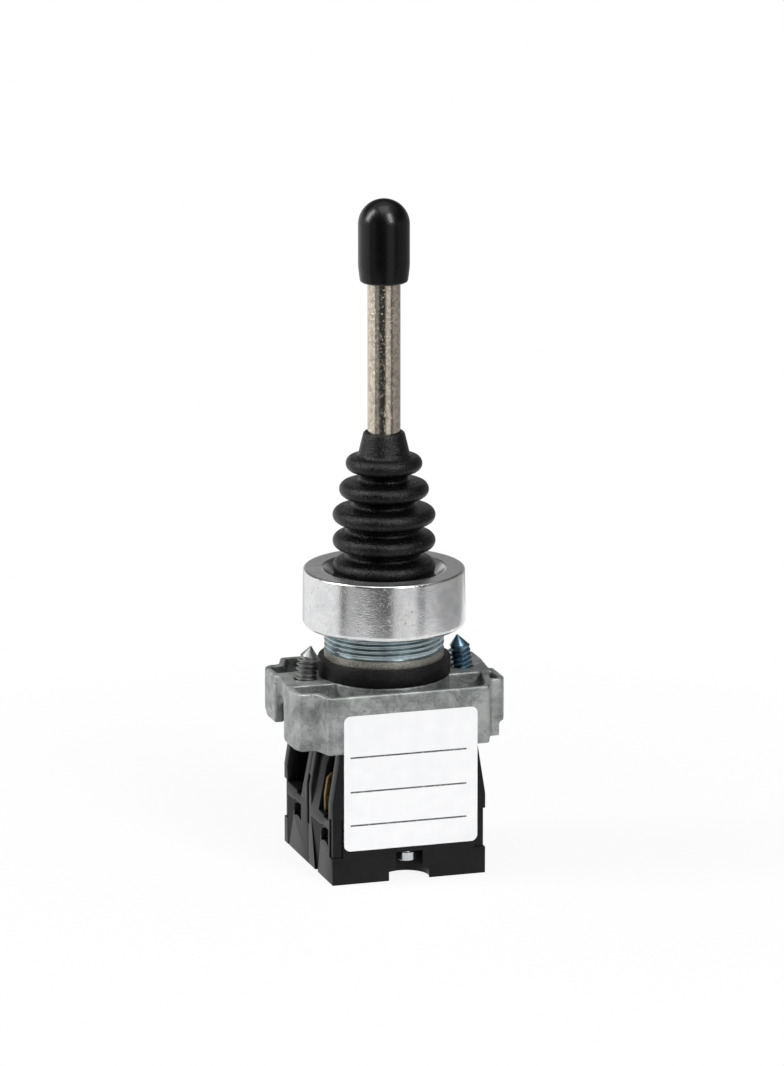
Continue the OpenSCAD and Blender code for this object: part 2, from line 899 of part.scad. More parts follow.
// Deep pocket that the terminal stands in. The low step on its floor runs from tab_from to tab_to
module terminal_pocket(from_y, to_y, tab_from, tab_to) {
    difference() {
        union() {
            slab(pocket_x, end_x + over, from_y, to_y - side_play, shelf_top, pocket_high);
            slab(step_x, end_x + over, from_y, to_y, shelf_top, pocket_high);
        }
        slab(
            recess_x, end_x + 2 * over,
            tab_from - eps, tab_to,
            shelf_top - over, shelf_top + tab_h
        );
    }
}

// Room for the washer, the clamp plate and the wire, and the way in for a screwdriver
module clamp_space() {
    slab(
        term_x - washer_w / 2 - touch, term_x + washer_w / 2 + touch,
        plate_y, wall_y,
        washer_low - touch, clamp_top
    );
    difference() {
        slab(
            recess_x, end_x + over,
            plate_y + touch, wall_y - touch,
            washer_low + washer_t / 2, clamp_top
        );
        translate([recess_x - over, term_y, wire_z - wire_r])
            rotate([0, 90, 0])
                cylinder(r = wire_r, h = end_recess + 3 * over);
    }
    rod_z(term_head_d + 0.4, -over, washer_low, x = term_x, y = term_y);
    rod_z(
        term_screw_d + 2 * run, shelf_under - over, shelf_top + eps,
        x = term_x, y = term_y
    );
}

// Strip at each outer corner, set back from the block's end and from the label's face
module corner_strip() {
    slab(
        end_x - strip_w, end_x + over,
        far_y - strip_in, far_y + over,
        plinth_h, waist_top
    );
    slab(
        end_x - waist_in, end_x + over,
        far_y - strip_w, far_y + over,
        plinth_h, waist_top
    );
}

module parting_slot() {
    slab(
        end_x - parting_depth, end_x + over,
        near_y - over, near_y + parting_w,
        parting_low, parting_high
    );
}

// Sloping panel in the end below the shelf: it starts level at from_y, gets deeper towards the
// terminal, and is down to a notch between foot_from and foot_to at the block's foot
module lower_relief(from_y, foot_from, foot_to) {
    deep_y = plate_y + side_play;
    intersection() {
        translate([end_x - relief_depth - over, 0, 0])
            rotate([90, 0, 90])
                linear_extrude(height = relief_depth + 2 * over)
                    polygon([
                        [foot_from, -over],
                        [foot_to, -over],
                        [deep_y - 1, wire_z - 1],
                        [deep_y, clamp_top],
                        [from_y, clamp_top]
                    ]);
        translate([0, 0, -2 * over])
            linear_extrude(height = shelf_top)
                polygon([
                    [end_x, from_y],
                    [end_x - relief_depth, deep_y],
                    [end_x + over, deep_y],
                    [end_x + over, from_y]
                ]);
    }
}

module terminals() {
    color("goldenrod") {
        terminal(arm, edge_x);
        other_end()
            terminal(2 * turn_y - arm, inner_edge_x);
    }
}

module terminal(contact_y, to_x) {
    difference() {
        terminal_shape(contact_y, to_x);
        rod_z(term_screw_d + 2 * seat, 0, shelf_under, x = term_x, y = term_y);
    }
    rod_z(button_d, arm_low + arm_t - eps, contact_top, x = arm, y = contact_y);
}

module clamp_washers() {
    color("silver")
        both_blocks()
            both_turned()
                difference() {
                    translate([term_x - washer_w / 2, term_y - washer_w / 2, washer_low])
                        cube([washer_w, washer_w, washer_t]);
                    rod_z(
                        term_screw_d + 2 * seat, washer_low - over, washer_low + 2 * washer_t,
                        x = term_x, y = term_y
                    );
                }
}

module terminal_screws() {
    head_low = washer_low - term_head_h;
    color("silver")
        both_blocks()
            both_turned()
                difference() {
                    union() {
                        rod_z(term_head_d, head_low, washer_low, x = term_x, y = term_y);
                        rod_z(
                            term_screw_d, washer_low - eps, shelf_top - 0.2,
                            x = term_x, y = term_y
                        );
                    }
                    screw_cross(term_x, term_y, head_low, 3.2, 0.7, 1);
                }
}

// A cross recess in a screw head whose face is at z
module screw_cross(x, y, z, size, width, depth) {
    translate([x, y, z + depth / 2 - over / 2])
        for (turn = [0, 90])
            rotate([0, 0, turn])
                cube([size, width, depth + over], center = true);
}

module block_screws() {
    head_low = plinth_h - block_head_h;
    color("gainsboro")
        both_blocks()
            difference() {
                union() {
                    rod_z(block_head_d, head_low, plinth_h, y = block_screw_y);
                    rod_z(block_screw_d, plinth_h - eps, block_screw_top, y = block_screw_y);
                }
                screw_cross(0, block_screw_y, head_low, 2 * block_head_d, 0.7, 0.7);
            }
}

module blank_label() {
    color("white")
        translate([label_off, -label_y, label_up + label_h / 2])
            rotate([90, 0, 0])
                linear_extrude(height = label_t)
                    union() {
                        square([label_w - 2 * label_r, label_h], center = true);
                        square([label_w, label_h - 2 * label_r], center = true);
                        for (sx = [-1, 1], sy = [-1, 1])
                            translate([sx * (label_w / 2 - label_r), sy * (label_h / 2 - label_r)])
                                circle(r = label_r, $fn = 32);
                    }
}

// What moves inside a block, drawn for the rear one

module return_spring() {
    color("silver")
        translate([0, arm, 0])
            coil(return_mean, return_wire, cavity_low, stem_low, turns = 5);
}

module contact_spring() {
    color("silver")
        translate([0, arm, 0])
            coil(contact_mean, contact_wire, bridge_low + bridge_t, window_top, turns = 5);
}

module carrier() {
    color("linen")
        difference() {
            union() {
                slab(
                    -carrier_w / 2, carrier_w / 2,
                    arm - carrier_half, arm + carrier_half,
                    stem_low, stem_top
                );
                rod_z(plunger_d, stem_top - eps, push_low, y = arm);
                rod_z(peg_d, stem_low - peg_l, stem_low + eps, y = arm);
            }
            slab(
                -carrier_w, carrier_w,
                arm - bridge_near - run, arm + bridge_near + run,
                bridge_low, window_top
            );
        }
}

module contact_bridge() {
    color("goldenrod")
        slab(
            -bridge_l / 2, bridge_l / 2,
            arm - bridge_near, arm + bridge_far,
            bridge_low, bridge_low + bridge_t
        );
}

module push_rod() {
    color("linen")
        rod_z(push_d, push_low, push_top, y = arm);
}

// Lever ------------------------------------------------------------------------

module pivot_pin() {
    half_l = sqrt(pow(neck_d / 2, 2) - pow(pin_d / 2, 2)) - run;
    color("silver")
        translate([-half_l, 0, pivot_z])
            rotate([0, 90, 0])
                cylinder(d = pin_d, h = 2 * half_l);
}

module lever_rod() {
    color("silver")
        difference() {
            rod_z(rod_d, socket_low, rod_top, $fn = 96);
            rod_pin_hole();
        }
}

module rod_pin_hole() {
    translate([0, rocker_d, rod_pin_z])
        rotate([90, 0, 0])
            cylinder(d = rod_pin_d + 2 * seat, h = 2 * rocker_d);
}

module rod_pin() {
    color("gray")
        translate([0, rocker_d / 2 - touch, rod_pin_z])
            rotate([90, 0, 0])
                cylinder(d = rod_pin_d, h = rocker_d - 2 * touch);
}

module knob() {
    r = knob_d / 2;
    foot_round = 0.5;
    color([0.1, 0.1, 0.1])
        difference() {
            union() {
                rotate_extrude($fn = 96)
                    union() {
                        polygon([
                            [0, knob_low],
                            [r - knob_taper - foot_round, knob_low],
                            [r - knob_taper, knob_low + foot_round],
                            [r, knob_low + knob_foot],
                            [r, knob_top - r],
                            [0, knob_top - r]
                        ]);
                        translate([r - knob_taper - foot_round, knob_low + foot_round])
                            circle(r = foot_round, $fn = 32);
                    }
                translate([0, 0, knob_top - r])
                    sphere(r = r, $fn = 96);
            }
            rod_z(rod_d + 2 * seat, knob_low - over, rod_top + seat);
        }
}

module rocker() {
    color("lightgray")
        difference() {
            union() {
                rod_z(rocker_d, pivot_z - 3.4, rocker_top);
                slab(-tail_w / 2, tail_w / 2, -tail_w / 2, tail_w / 2, tail_low, pivot_z);
                slab(-arm_w / 2, arm_w / 2, -arm, arm, nose_z - nose_d / 2 + 0.4, pivot_z + 1);
                for (side = [-1, 1])
                    translate([-arm_w / 2, side * arm, nose_z])
                        rotate([0, 90, 0])
                            cylinder(d = nose_d, h = arm_w);
            }
            translate([-rocker_d, 0, pivot_z])
                rotate([0, 90, 0])
                    cylinder(d = pin_d + 2 * run, h = 2 * rocker_d);
            rod_z(rod_d + 2 * seat, socket_low, rocker_top + over);
            rod_z(ball_d + 2 * run, tail_low - over, detent_roof);
            rod_pin_hole();
        }
}

module detent_pin() {
    color("silver")
        union() {
            rod_z(ball_d, pivot_z - ball_drop, detent_shoulder);
            translate([0, 0, pivot_z - ball_drop])
                sphere(d = ball_d);
        }
}

module detent_spring() {
    color("silver")
        coil(detent_mean, detent_wire, detent_shoulder, detent_roof, turns = 3);
}

module detent_plate() {
    half_x = 3;
    half_y = arm - push_d / 2 - 0.9;
    color("lightslategray")
        difference() {
            slab(
                -half_x, half_x,
                -half_y, half_y,
                guide_top, pivot_z - sqrt(pow(cam_r, 2) - pow(half_y, 2))
            );
            translate([-half_x - over, 0, pivot_z])
                rotate([0, 90, 0])
                    cylinder(r = cam_r, h = 2 * (half_x + over), $fn = 96);
            for (a = [-tilt, 0, tilt])
                translate([-half_x - over, 0, pivot_z])
                    rotate([a, 0, 0])
                        translate([0, 0, -cam_r - notch_depth + notch_d / 2])
                            rotate([0, 90, 0])
                                cylinder(d = notch_d, h = 2 * (half_x + over));
        }
}

bezel();
neck();
sealing_ring();
collar();
clamp_screws();
pivot_pin();
detent_plate();
front() housing();  // front_housing
housing();  // rear_housing
front() terminals();  // front_terminals
terminals();  // rear_terminals
clamp_washers();
terminal_screws();
block_screws();
blank_label();
boot();
front() return_spring();  // front_return_spring
return_spring();  // rear_return_spring
lever_rod();
knob();
rocker();
rod_pin();
detent_pin();
detent_spring();
front() push_rod();  // front_push_rod
front() carrier();  // front_carrier
front() contact_bridge();  // front_bridge
front() contact_spring();  // front_contact_spring
push_rod();  // rear_push_rod
carrier();  // rear_carrier
contact_bridge();  // rear_bridge
contact_spring();  // rear_contact_spring
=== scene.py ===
import json
import math

import bmesh
import bpy
from mathutils import Matrix, Vector


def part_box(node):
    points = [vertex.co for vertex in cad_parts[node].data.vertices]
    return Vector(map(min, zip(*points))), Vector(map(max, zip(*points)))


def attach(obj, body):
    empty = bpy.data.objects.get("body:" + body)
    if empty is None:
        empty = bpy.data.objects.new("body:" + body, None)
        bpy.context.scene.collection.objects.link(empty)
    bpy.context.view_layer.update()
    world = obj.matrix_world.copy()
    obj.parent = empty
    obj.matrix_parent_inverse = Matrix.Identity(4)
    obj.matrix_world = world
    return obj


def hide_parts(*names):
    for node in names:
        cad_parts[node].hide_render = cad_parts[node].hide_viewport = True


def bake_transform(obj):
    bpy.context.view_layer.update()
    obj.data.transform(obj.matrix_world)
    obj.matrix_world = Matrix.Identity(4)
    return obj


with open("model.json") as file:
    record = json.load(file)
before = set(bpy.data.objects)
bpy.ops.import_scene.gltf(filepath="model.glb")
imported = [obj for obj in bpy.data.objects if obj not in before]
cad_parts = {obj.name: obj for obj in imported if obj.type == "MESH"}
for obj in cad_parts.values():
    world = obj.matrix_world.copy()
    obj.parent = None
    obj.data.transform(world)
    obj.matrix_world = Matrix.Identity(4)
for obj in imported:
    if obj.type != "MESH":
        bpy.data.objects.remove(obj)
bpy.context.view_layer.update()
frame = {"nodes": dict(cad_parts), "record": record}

# Two-direction lever switch: bezel and boot above the panel, collar and contact blocks behind it.
# Lengths in the dictionaries are in millimetres unless a note says otherwise.
mm = 0.001
weldDistance = 2e-6      # metres: vertices closer than this become one
flatAngle = 0.6          # degrees: faces that turn less than this become one
print("frame loaded")


# Selecting and shaping

def deselectAll():
    if bpy.context.view_layer.objects.active and bpy.context.object.mode != "OBJECT":
        bpy.ops.object.mode_set(mode="OBJECT")
    bpy.ops.object.select_all(action="DESELECT")


def makeActive(piece):
    deselectAll()
    piece.select_set(True)
    bpy.context.view_layer.objects.active = piece


def editAll(piece):
    makeActive(piece)
    bpy.ops.object.mode_set(mode="EDIT")
    bpy.ops.mesh.select_mode(type="VERT")
    bpy.ops.mesh.select_all(action="SELECT")


def leaveEdit():
    bpy.ops.object.mode_set(mode="OBJECT")


def applyModifier(piece, kind, **settings):
    makeActive(piece)
    modifier = piece.modifiers.new(kind.title(), kind)
    for key, value in settings.items():
        setattr(modifier, key, value)
    bpy.ops.object.modifier_apply(modifier=modifier.name)


def settle(piece, name=None):
    # the finished object sits at the origin, with its place in its mesh
    makeActive(piece)
    bpy.ops.object.transform_apply(location=True, rotation=True, scale=True)
    if name:
        piece.name = name
        piece.data.name = name
    return piece


def shadeSmooth(piece, degrees):
    makeActive(piece)
    bpy.ops.object.shade_smooth_by_angle(angle=math.radians(degrees))


def mendNormals(piece):
    editAll(piece)
    bpy.ops.mesh.remove_doubles(threshold=weldDistance)
    bpy.ops.mesh.normals_make_consistent(inside=False)
    leaveEdit()


def copyOfNode(node, name):
    # a merged copy of a CAD node, with its flat faces made whole again
    piece = frame["nodes"][node].copy()
    piece.data = piece.data.copy()
    piece.name = name
    piece.data.name = name
    piece.parent = None
    piece.matrix_world = Matrix.Identity(4)
    for key in list(piece.keys()):
        del piece[key]
    bpy.context.scene.collection.objects.link(piece)
    piece.data.materials.clear()
    makeActive(piece)
    bpy.ops.mesh.customdata_custom_splitnormals_clear()
    editAll(piece)
    bpy.ops.mesh.remove_doubles(threshold=weldDistance)
    bpy.ops.mesh.dissolve_limited(angle_limit=math.radians(flatAngle))
    leaveEdit()
    return piece


def duplicate(piece, name):
    twin = piece.copy()
    twin.data = piece.data.copy()
    twin.name = name
    twin.data.name = name
    bpy.context.scene.collection.objects.link(twin)
    return twin


def joinAll(pieces, name):
    makeActive(pieces[0])
    for piece in pieces[1:]:
        piece.select_set(True)
    bpy.ops.object.join()
    return settle(bpy.context.object, name)


def cutAway(piece, cutter):
    applyModifier(piece, "BOOLEAN", object=cutter, operation="DIFFERENCE", solver="EXACT")
    bpy.data.objects.remove(cutter)


def arc(center, radius, start, end, steps):
    # points on an arc in the plane of a profile, angles in degrees from straight outwards
    return [
        (
            center[0] + radius * math.cos(math.radians(start + (end - start) * i / steps)),
            center[1] + radius * math.sin(math.radians(start + (end - start) * i / steps)),
        )
        for i in range(steps + 1)
    ]


def traceProfile(name, points):
    # a plane is merged to one vertex, which is then drawn out along the profile
    deselectAll()
    bpy.ops.mesh.primitive_plane_add(size=mm, location=(0, 0, 0))
    piece = bpy.context.object
    piece.name = name
    editAll(piece)
    bpy.ops.mesh.merge(type="CENTER")
    bpy.ops.transform.translate(value=(points[0][0] * mm, 0, points[0][1] * mm))
    for before, after in zip(points, points[1:]):
        step = ((after[0] - before[0]) * mm, 0, (after[1] - before[1]) * mm)
        bpy.ops.mesh.extrude_region_move(TRANSFORM_OT_translate={"value": step})
    leaveEdit()
    return piece


def lathe(name, points, steps):
    # the profile, as (radius, height) pairs, is spun about the lever axis
    piece = traceProfile(name, points)
    editAll(piece)
    bpy.ops.mesh.spin(steps=steps, angle=math.tau, center=(0, 0, 0), axis=(0, 0, 1))
    leaveEdit()
    mendNormals(piece)
    return piece


ridgeForm = {"foot": 0.46, "crest": 0.22}   # half its foot as a share of the pitch, and crest to foot


def threadAround(name, root, crest, pitch, low, turns, steps):
    # one closed ridge section, wound up by the Screw modifier, with its two ends filled
    half = pitch * ridgeForm["foot"]
    flat = half * ridgeForm["crest"]
    section = [(root, low - half), (crest, low - flat), (crest, low + flat), (root, low + half)]
    section += section[:1]
    piece = traceProfile(name, section)
    mendNormals(piece)
    applyModifier(
        piece, "SCREW", axis="Z", angle=math.tau, screw_offset=pitch * mm, iterations=turns,
        steps=steps, render_steps=steps, use_merge_vertices=False,
    )
    editAll(piece)
    bpy.ops.mesh.fill_holes(sides=8)
    leaveEdit()
    mendNormals(piece)
    return piece


# Materials: each one reads Object coordinates, scaled to millimetres

def startMaterial(name, color, metallic, roughness):
    material = bpy.data.materials.new(name)
    material.use_nodes = True
    tree = material.node_tree
    shader = tree.nodes["Principled BSDF"]
    shader.inputs["Base Color"].default_value = (*color, 1)
    shader.inputs["Metallic"].default_value = metallic
    shader.inputs["Roughness"].default_value = roughness
    coords = tree.nodes.new("ShaderNodeTexCoord")
    mapping = tree.nodes.new("ShaderNodeMapping")
    mapping.inputs["Scale"].default_value = (1 / mm,) * 3
    tree.links.new(coords.outputs["Object"], mapping.inputs["Vector"])
    return material, tree, shader, mapping


def addNoise(tree, vector, scale, detail=4, roughness=0.6, distortion=0):
    noise = tree.nodes.new("ShaderNodeTexNoise")
    noise.inputs["Scale"].default_value = scale
    noise.inputs["Detail"].default_value = detail
    noise.inputs["Roughness"].default_value = roughness
    noise.inputs["Distortion"].default_value = distortion
    tree.links.new(vector.outputs["Vector"], noise.inputs["Vector"])
    return noise.outputs["Fac"]


def addRamp(tree, value, stops):
    # stops are (position, color) pairs, in order
    ramp = tree.nodes.new("ShaderNodeValToRGB")
    elements = ramp.color_ramp.elements
    elements[0].position, elements[1].position = stops[0][0], stops[-1][0]
    for position, _ in stops[1:-1]:
        elements.new(position)
    for element, (_, color) in zip(elements, stops):
        element.color = (*color, 1)
    tree.links.new(value, ramp.inputs["Fac"])
    return ramp.outputs["Color"]


def addRange(tree, value, low, high, toLow, toHigh):
    node = tree.nodes.new("ShaderNodeMapRange")
    for key, number in zip(("From Min", "From Max", "To Min", "To Max"), (low, high, toLow, toHigh)):
        node.inputs[key].default_value = number
    tree.links.new(value, node.inputs["Value"])
    return node.outputs["Result"]


def addMath(tree, operation, first, second=0):
    node = tree.nodes.new("ShaderNodeMath")
    node.operation = operation
    for socket, value in zip(node.inputs, (first, second)):
        if isinstance(value, (int, float)):
            socket.default_value = value
        else:
            tree.links.new(value, socket)
    return node.outputs["Value"]


def addAxes(tree, vector):
    node = tree.nodes.new("ShaderNodeSeparateXYZ")
    tree.links.new(vector, node.inputs["Vector"])
    return node.outputs["X"], node.outputs["Y"], node.outputs["Z"]


def mixColors(tree, factor, first, second, blend="MIX"):
    node = tree.nodes.new("ShaderNodeMix")
    node.data_type = "RGBA"
    node.blend_type = blend
    for socket, value in ((node.inputs[0], factor), (node.inputs[6], first), (node.inputs[7], second)):
        if isinstance(value, (int, float)):
            socket.default_value = value
        elif isinstance(value, tuple):
            socket.default_value = (*value, 1)
        else:
            tree.links.new(value, socket)
    return node.outputs[2]


def addBump(tree, shader, height, strength, distance, after=None):
    bump = tree.nodes.new("ShaderNodeBump")
    bump.inputs["Strength"].default_value = strength
    bump.inputs["Distance"].default_value = distance * mm
    tree.links.new(height, bump.inputs["Height"])
    if after:
        tree.links.new(after, bump.inputs["Normal"])
    tree.links.new(bump.outputs["Normal"], shader.inputs["Normal"])
    return bump.outputs["Normal"]


def shaded(color, share):
    return tuple(share * c for c in color)


# noise scales are per millimetre, depths in millimetres, the rest are shares
castGrain = {
    "cloudScale": 0.30, "grainScale": 2.6, "pitScale": 1.1, "speckShare": 0.45, "pitShadeShare": 0.75,
    "cloudDepth": 0.5, "pitDepth": 0.2, "grainDepth": 0.09,
}


def castMetal(name, dark, light, speck, roughness=0.5, metallic=0.65):
    # raw die casting: cloudy tone, small pale specks, soft pits darkened by painted shade
    material, tree, shader, inMm = startMaterial(name, light, metallic, roughness)
    cloud = addNoise(tree, inMm, castGrain["cloudScale"], 5, 0.62, 0.4)
    grain = addNoise(tree, inMm, castGrain["grainScale"], 4, 0.75)
    pits = addNoise(tree, inMm, castGrain["pitScale"], 6, 0.8)
    tone = addRamp(tree, cloud, [(0.38, dark), (0.62, light)])
    specks = addRange(tree, grain, 0.53, 0.68, 0, castGrain["speckShare"])
    tone = mixColors(tree, specks, tone, speck)
    # painted shade: the colour in the pits goes towards a dark grey, as the shade in them would
    shade = addRange(tree, pits, 0.34, 0.42, castGrain["pitShadeShare"], 0)
    tone = mixColors(tree, shade, tone, shaded(dark, 0.35))
    tree.links.new(tone, shader.inputs["Base Color"])
    uneven = addRange(tree, grain, 0.3, 0.7, roughness - 0.12, roughness + 0.12)
    tree.links.new(uneven, shader.inputs["Roughness"])
    first = addBump(tree, shader, cloud, 0.4, castGrain["cloudDepth"])
    second = addBump(tree, shader, pits, 0.6, castGrain["pitDepth"], first)
    addBump(tree, shader, grain, 0.5, castGrain["grainDepth"], second)
    return material


platedGrain = {"rippleScale": 3.5, "pitScale": 2.1, "depth": 0.05}


def platedMetal(name, color, tint, roughness, ripple, metallic=1, pitShade=0, clouds=1, cloudScale=0.5):
    # bright plating: fine ripple, faint clouds between color and tint, tiny pits darkened by painted shade
    material, tree, shader, inMm = startMaterial(name, color, metallic, roughness)
    cloud = addNoise(tree, inMm, cloudScale, 5, 0.6, 0.6)
    fine = addNoise(tree, inMm, platedGrain["rippleScale"], 3, 0.6)
    tone = addRamp(tree, cloud, [(0.35, tint), (0.62, color)])
    height = fine
    if pitShade:
        pits = addNoise(tree, inMm, platedGrain["pitScale"], 5, 0.8)
        # painted shade: where a pit is, the colour goes towards a dark tint, as the shade in it would
        pit = addRange(tree, pits, 0.35, 0.41, 1, 0)
        tone = mixColors(tree, addMath(tree, "MULTIPLY", pit, pitShade), tone, shaded(tint, 0.18))
        height = addMath(tree, "SUBTRACT", fine, pit)
    tree.links.new(tone, shader.inputs["Base Color"])
    low, high = roughness * (1 - 0.25 * clouds), roughness * (1 + 0.35 * clouds)
    tree.links.new(addRange(tree, cloud, 0.3, 0.7, low, high), shader.inputs["Roughness"])
    addBump(tree, shader, height, ripple, platedGrain["depth"])
    return material


neckGrain = {
    "cloudScale": 0.5, "grainScale": 2.6, "depth": 0.08, "platedRoughness": 0.24, "plainRoughness": 0.5,
}


def neckMetal(name, color, tint, plain, plainTop):
    # zinc plating on the thread, and a rough dull band below it
    material, tree, shader, inMm = startMaterial(name, color, 0.95, 0.25)
    cloud = addNoise(tree, inMm, neckGrain["cloudScale"], 4, 0.6, 0.4)
    grain = addNoise(tree, inMm, neckGrain["grainScale"], 4, 0.7)
    z = addAxes(tree, inMm.outputs["Vector"])[2]
    height = addMath(tree, "ADD", z, addMath(tree, "MULTIPLY", grain, 0.3))
    band = addRange(tree, height, plainTop, plainTop + 0.15, 1, 0)
    tone = addRamp(tree, cloud, [(0.35, tint), (0.62, color)])
    dull = addRamp(tree, grain, [(0.38, shaded(plain, 0.55)), (0.62, plain)])
    tree.links.new(mixColors(tree, band, tone, dull), shader.inputs["Base Color"])
    uneven = addRange(tree, band, 0, 1, neckGrain["platedRoughness"], neckGrain["plainRoughness"])
    tree.links.new(uneven, shader.inputs["Roughness"])
    relief = addMath(tree, "MULTIPLY", grain, addRange(tree, band, 0, 1, 0.04, 1))
    addBump(tree, shader, relief, 0.6, neckGrain["depth"])
    return material


def mouldedPlastic(name, color, edge, roughness, grainScale=6, grainDepth=0.02, specular=0.4):
    # moulded plastic: slight cloud in tone, fine spark-eroded grain
    material, tree, shader, inMm = startMaterial(name, color, 0, roughness)
    shader.inputs["Specular IOR Level"].default_value = specular
    cloud = addNoise(tree, inMm, 0.6, 3, 0.5)
    grain = addNoise(tree, inMm, grainScale, 3, 0.6)
    tree.links.new(addRamp(tree, cloud, [(0.3, color), (0.75, edge)]), shader.inputs["Base Color"])
    uneven = addRange(tree, grain, 0.3, 0.7, roughness - 0.07, roughness + 0.09)
    tree.links.new(uneven, shader.inputs["Roughness"])
    addBump(tree, shader, grain, 0.35, grainDepth)
    return material


def addSeam(tree, inMm, angle, slant, fromZ, width):
    # 1 on a thin upright line round the lever axis, which leans by slant radians per millimetre
    x, y, z = addAxes(tree, inMm.outputs["Vector"])
    place = addMath(tree, "ARCTAN2", x, addMath(tree, "MULTIPLY", y, -1))
    shift = addMath(tree, "MULTIPLY", addMath(tree, "SUBTRACT", z, fromZ), slant)
    middle = addMath(tree, "ADD", shift, angle)
    off = addMath(tree, "ABSOLUTE", addMath(tree, "SUBTRACT", place, middle))
    return addRange(tree, off, 0, width, 1, 0)


rubberGrain = {
    "bloomScale": 0.55, "grainScale": 2.7, "dustScale": 2.3, "depth": 0.15, "specular": 0.22,
    "dustColor": (0.28, 0.27, 0.25), "seamColor": (0.003, 0.003, 0.003),
}


def rubber(name, color, pale, roughness, seam, dustLevel=0.5):
    # matt rubber: pale bloom, tiny specks of dust, grain, and a dark line in its surface
    material, tree, shader, inMm = startMaterial(name, color, 0, roughness)
    shader.inputs["Specular IOR Level"].default_value = rubberGrain["specular"]
    bloom = addNoise(tree, inMm, rubberGrain["bloomScale"], 5, 0.65, 0.3)
    grain = addNoise(tree, inMm, rubberGrain["grainScale"], 3, 0.65)
    dust = addNoise(tree, inMm, rubberGrain["dustScale"], 5, 0.8)
    tone = addRamp(tree, bloom, [(0.35, color), (0.8, pale)])
    specks = addRange(tree, dust, 0.635, 0.67, 0, dustLevel)
    tone = mixColors(tree, specks, tone, rubberGrain["dustColor"])
    line = addSeam(tree, inMm, **seam)
    tone = mixColors(tree, line, tone, rubberGrain["seamColor"])
    height = addMath(tree, "SUBTRACT", grain, line)
    tree.links.new(tone, shader.inputs["Base Color"])
    uneven = addRange(tree, grain, 0.3, 0.7, roughness - 0.12, roughness + 0.16)
    tree.links.new(uneven, shader.inputs["Roughness"])
    addBump(tree, shader, height, 1, rubberGrain["depth"])
    return material


plated = {
    "bezelChrome": dict(color=(0.80, 0.795, 0.785), tint=(0.68, 0.69, 0.71), roughness=0.14, ripple=0.35,
                        metallic=0.94, pitShade=0.7, clouds=0.5, cloudScale=0.3),
    "screwSteel": dict(color=(0.36, 0.355, 0.35), tint=(0.25, 0.25, 0.25), roughness=0.36, ripple=0.1),
    "screwBlued": dict(color=(0.22, 0.33, 0.42), tint=(0.13, 0.21, 0.29), roughness=0.3, ripple=0.1),
    "springSteel": dict(color=(0.58, 0.58, 0.57), tint=(0.40, 0.40, 0.40), roughness=0.25, ripple=0.1),
    "zincSteel": dict(color=(0.62, 0.64, 0.66), tint=(0.45, 0.47, 0.50), roughness=0.27, ripple=0.12),
    "brass": dict(color=(0.24, 0.165, 0.06), tint=(0.12, 0.08, 0.03), roughness=0.42, ripple=0.5),
    "rodNickel": dict(color=(0.72, 0.64, 0.54), tint=(0.46, 0.405, 0.34), roughness=0.15, ripple=0.45,
                      pitShade=0.4, clouds=0.4, cloudScale=1.2),
}
cast = {
    "castZinc": dict(dark=(0.19, 0.203, 0.195), light=(0.40, 0.415, 0.405), speck=(0.60, 0.60, 0.585),
                     roughness=0.46, metallic=0.78),
    "rockerZinc": dict(dark=(0.42, 0.43, 0.43), light=(0.60, 0.60, 0.61), speck=(0.7, 0.7, 0.7)),
}
moulded = {
    "knobBlack": dict(color=(0.0012, 0.0012, 0.0015), edge=(0.003, 0.003, 0.0035), roughness=0.25,
                      grainDepth=0.008, specular=0.28),
    "blockBlack": dict(color=(0.003, 0.003, 0.0038), edge=(0.006, 0.006, 0.007), roughness=0.4,
                       grainScale=5, grainDepth=0.03, specular=0.2),
    "palePlastic": dict(color=(0.62, 0.60, 0.54), edge=(0.70, 0.68, 0.62), roughness=0.45),
    "labelWhite": dict(color=(0.80, 0.80, 0.80), edge=(0.84, 0.84, 0.84), roughness=0.5,
                       grainScale=5, grainDepth=0.004),
}
# a seam's angle is in radians from the label's face, where it crosses the height fromZ
rubbers = {
    "ringRubber": dict(color=(0.003, 0.003, 0.003), pale=(0.009, 0.0085, 0.008), roughness=0.44,
                       seam={"angle": -0.53, "slant": 0.02, "fromZ": 37, "width": 0.012}, dustLevel=0.3),
    "bootRubber": dict(color=(0.0012, 0.0012, 0.0015), pale=(0.004, 0.004, 0.004), roughness=0.3,
                       seam={"angle": -1.10, "slant": -0.014, "fromZ": 65, "width": 0.014}),
}
finishes = {"neckZinc": neckMetal("neckZinc", color=(0.46, 0.53, 0.55), tint=(0.36, 0.43, 0.45),
                                  plain=(0.42, 0.41, 0.37), plainTop=40.05)}
makers = ((platedMetal, plated), (castMetal, cast), (mouldedPlastic, moulded), (rubber, rubbers))
for maker, group in makers:
    for name, values in group.items():
        finishes[name] = maker(name, **values)
slotFinish = {
    "chromed_bezel": "bezelChrome",
    "zinc_plated_neck": "neckZinc",
    "cast_zinc": "castZinc",
    "zinc_rocker": "rockerZinc",
    "screw_steel": "screwSteel",
    "spring_steel": "springSteel",
    "zinc_steel": "zincSteel",
    "brass": "brass",
    "nickel_rod": "rodNickel",
    "black_knob": "knobBlack",
    "black_moulding": "blockBlack",
    "pale_moulding": "palePlastic",
    "black_rubber": "ringRubber",
    "boot_rubber": "bootRubber",
    "white_label": "labelWhite",
}
nodeSlot = {part["node"]: part["material_slot"] for part in frame["record"]["subparts"]}


def dress(piece, finish):
    piece.data.materials.clear()
    piece.data.materials.append(finishes[finish])


for node, slotName in nodeSlot.items():
    dress(frame["nodes"][node], slotFinish[slotName])
deselectAll()
print("materials made")


def standIn(piece, body, *nodes):
    # the finished piece rides on its body and stands for its CAD nodes
    if not piece.data.materials:
        dress(piece, slotFinish[nodeSlot[nodes[0]]])
    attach(piece, body)
    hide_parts(*nodes)


# Boot: a spun skin with a flange, five rolls and a tapered top

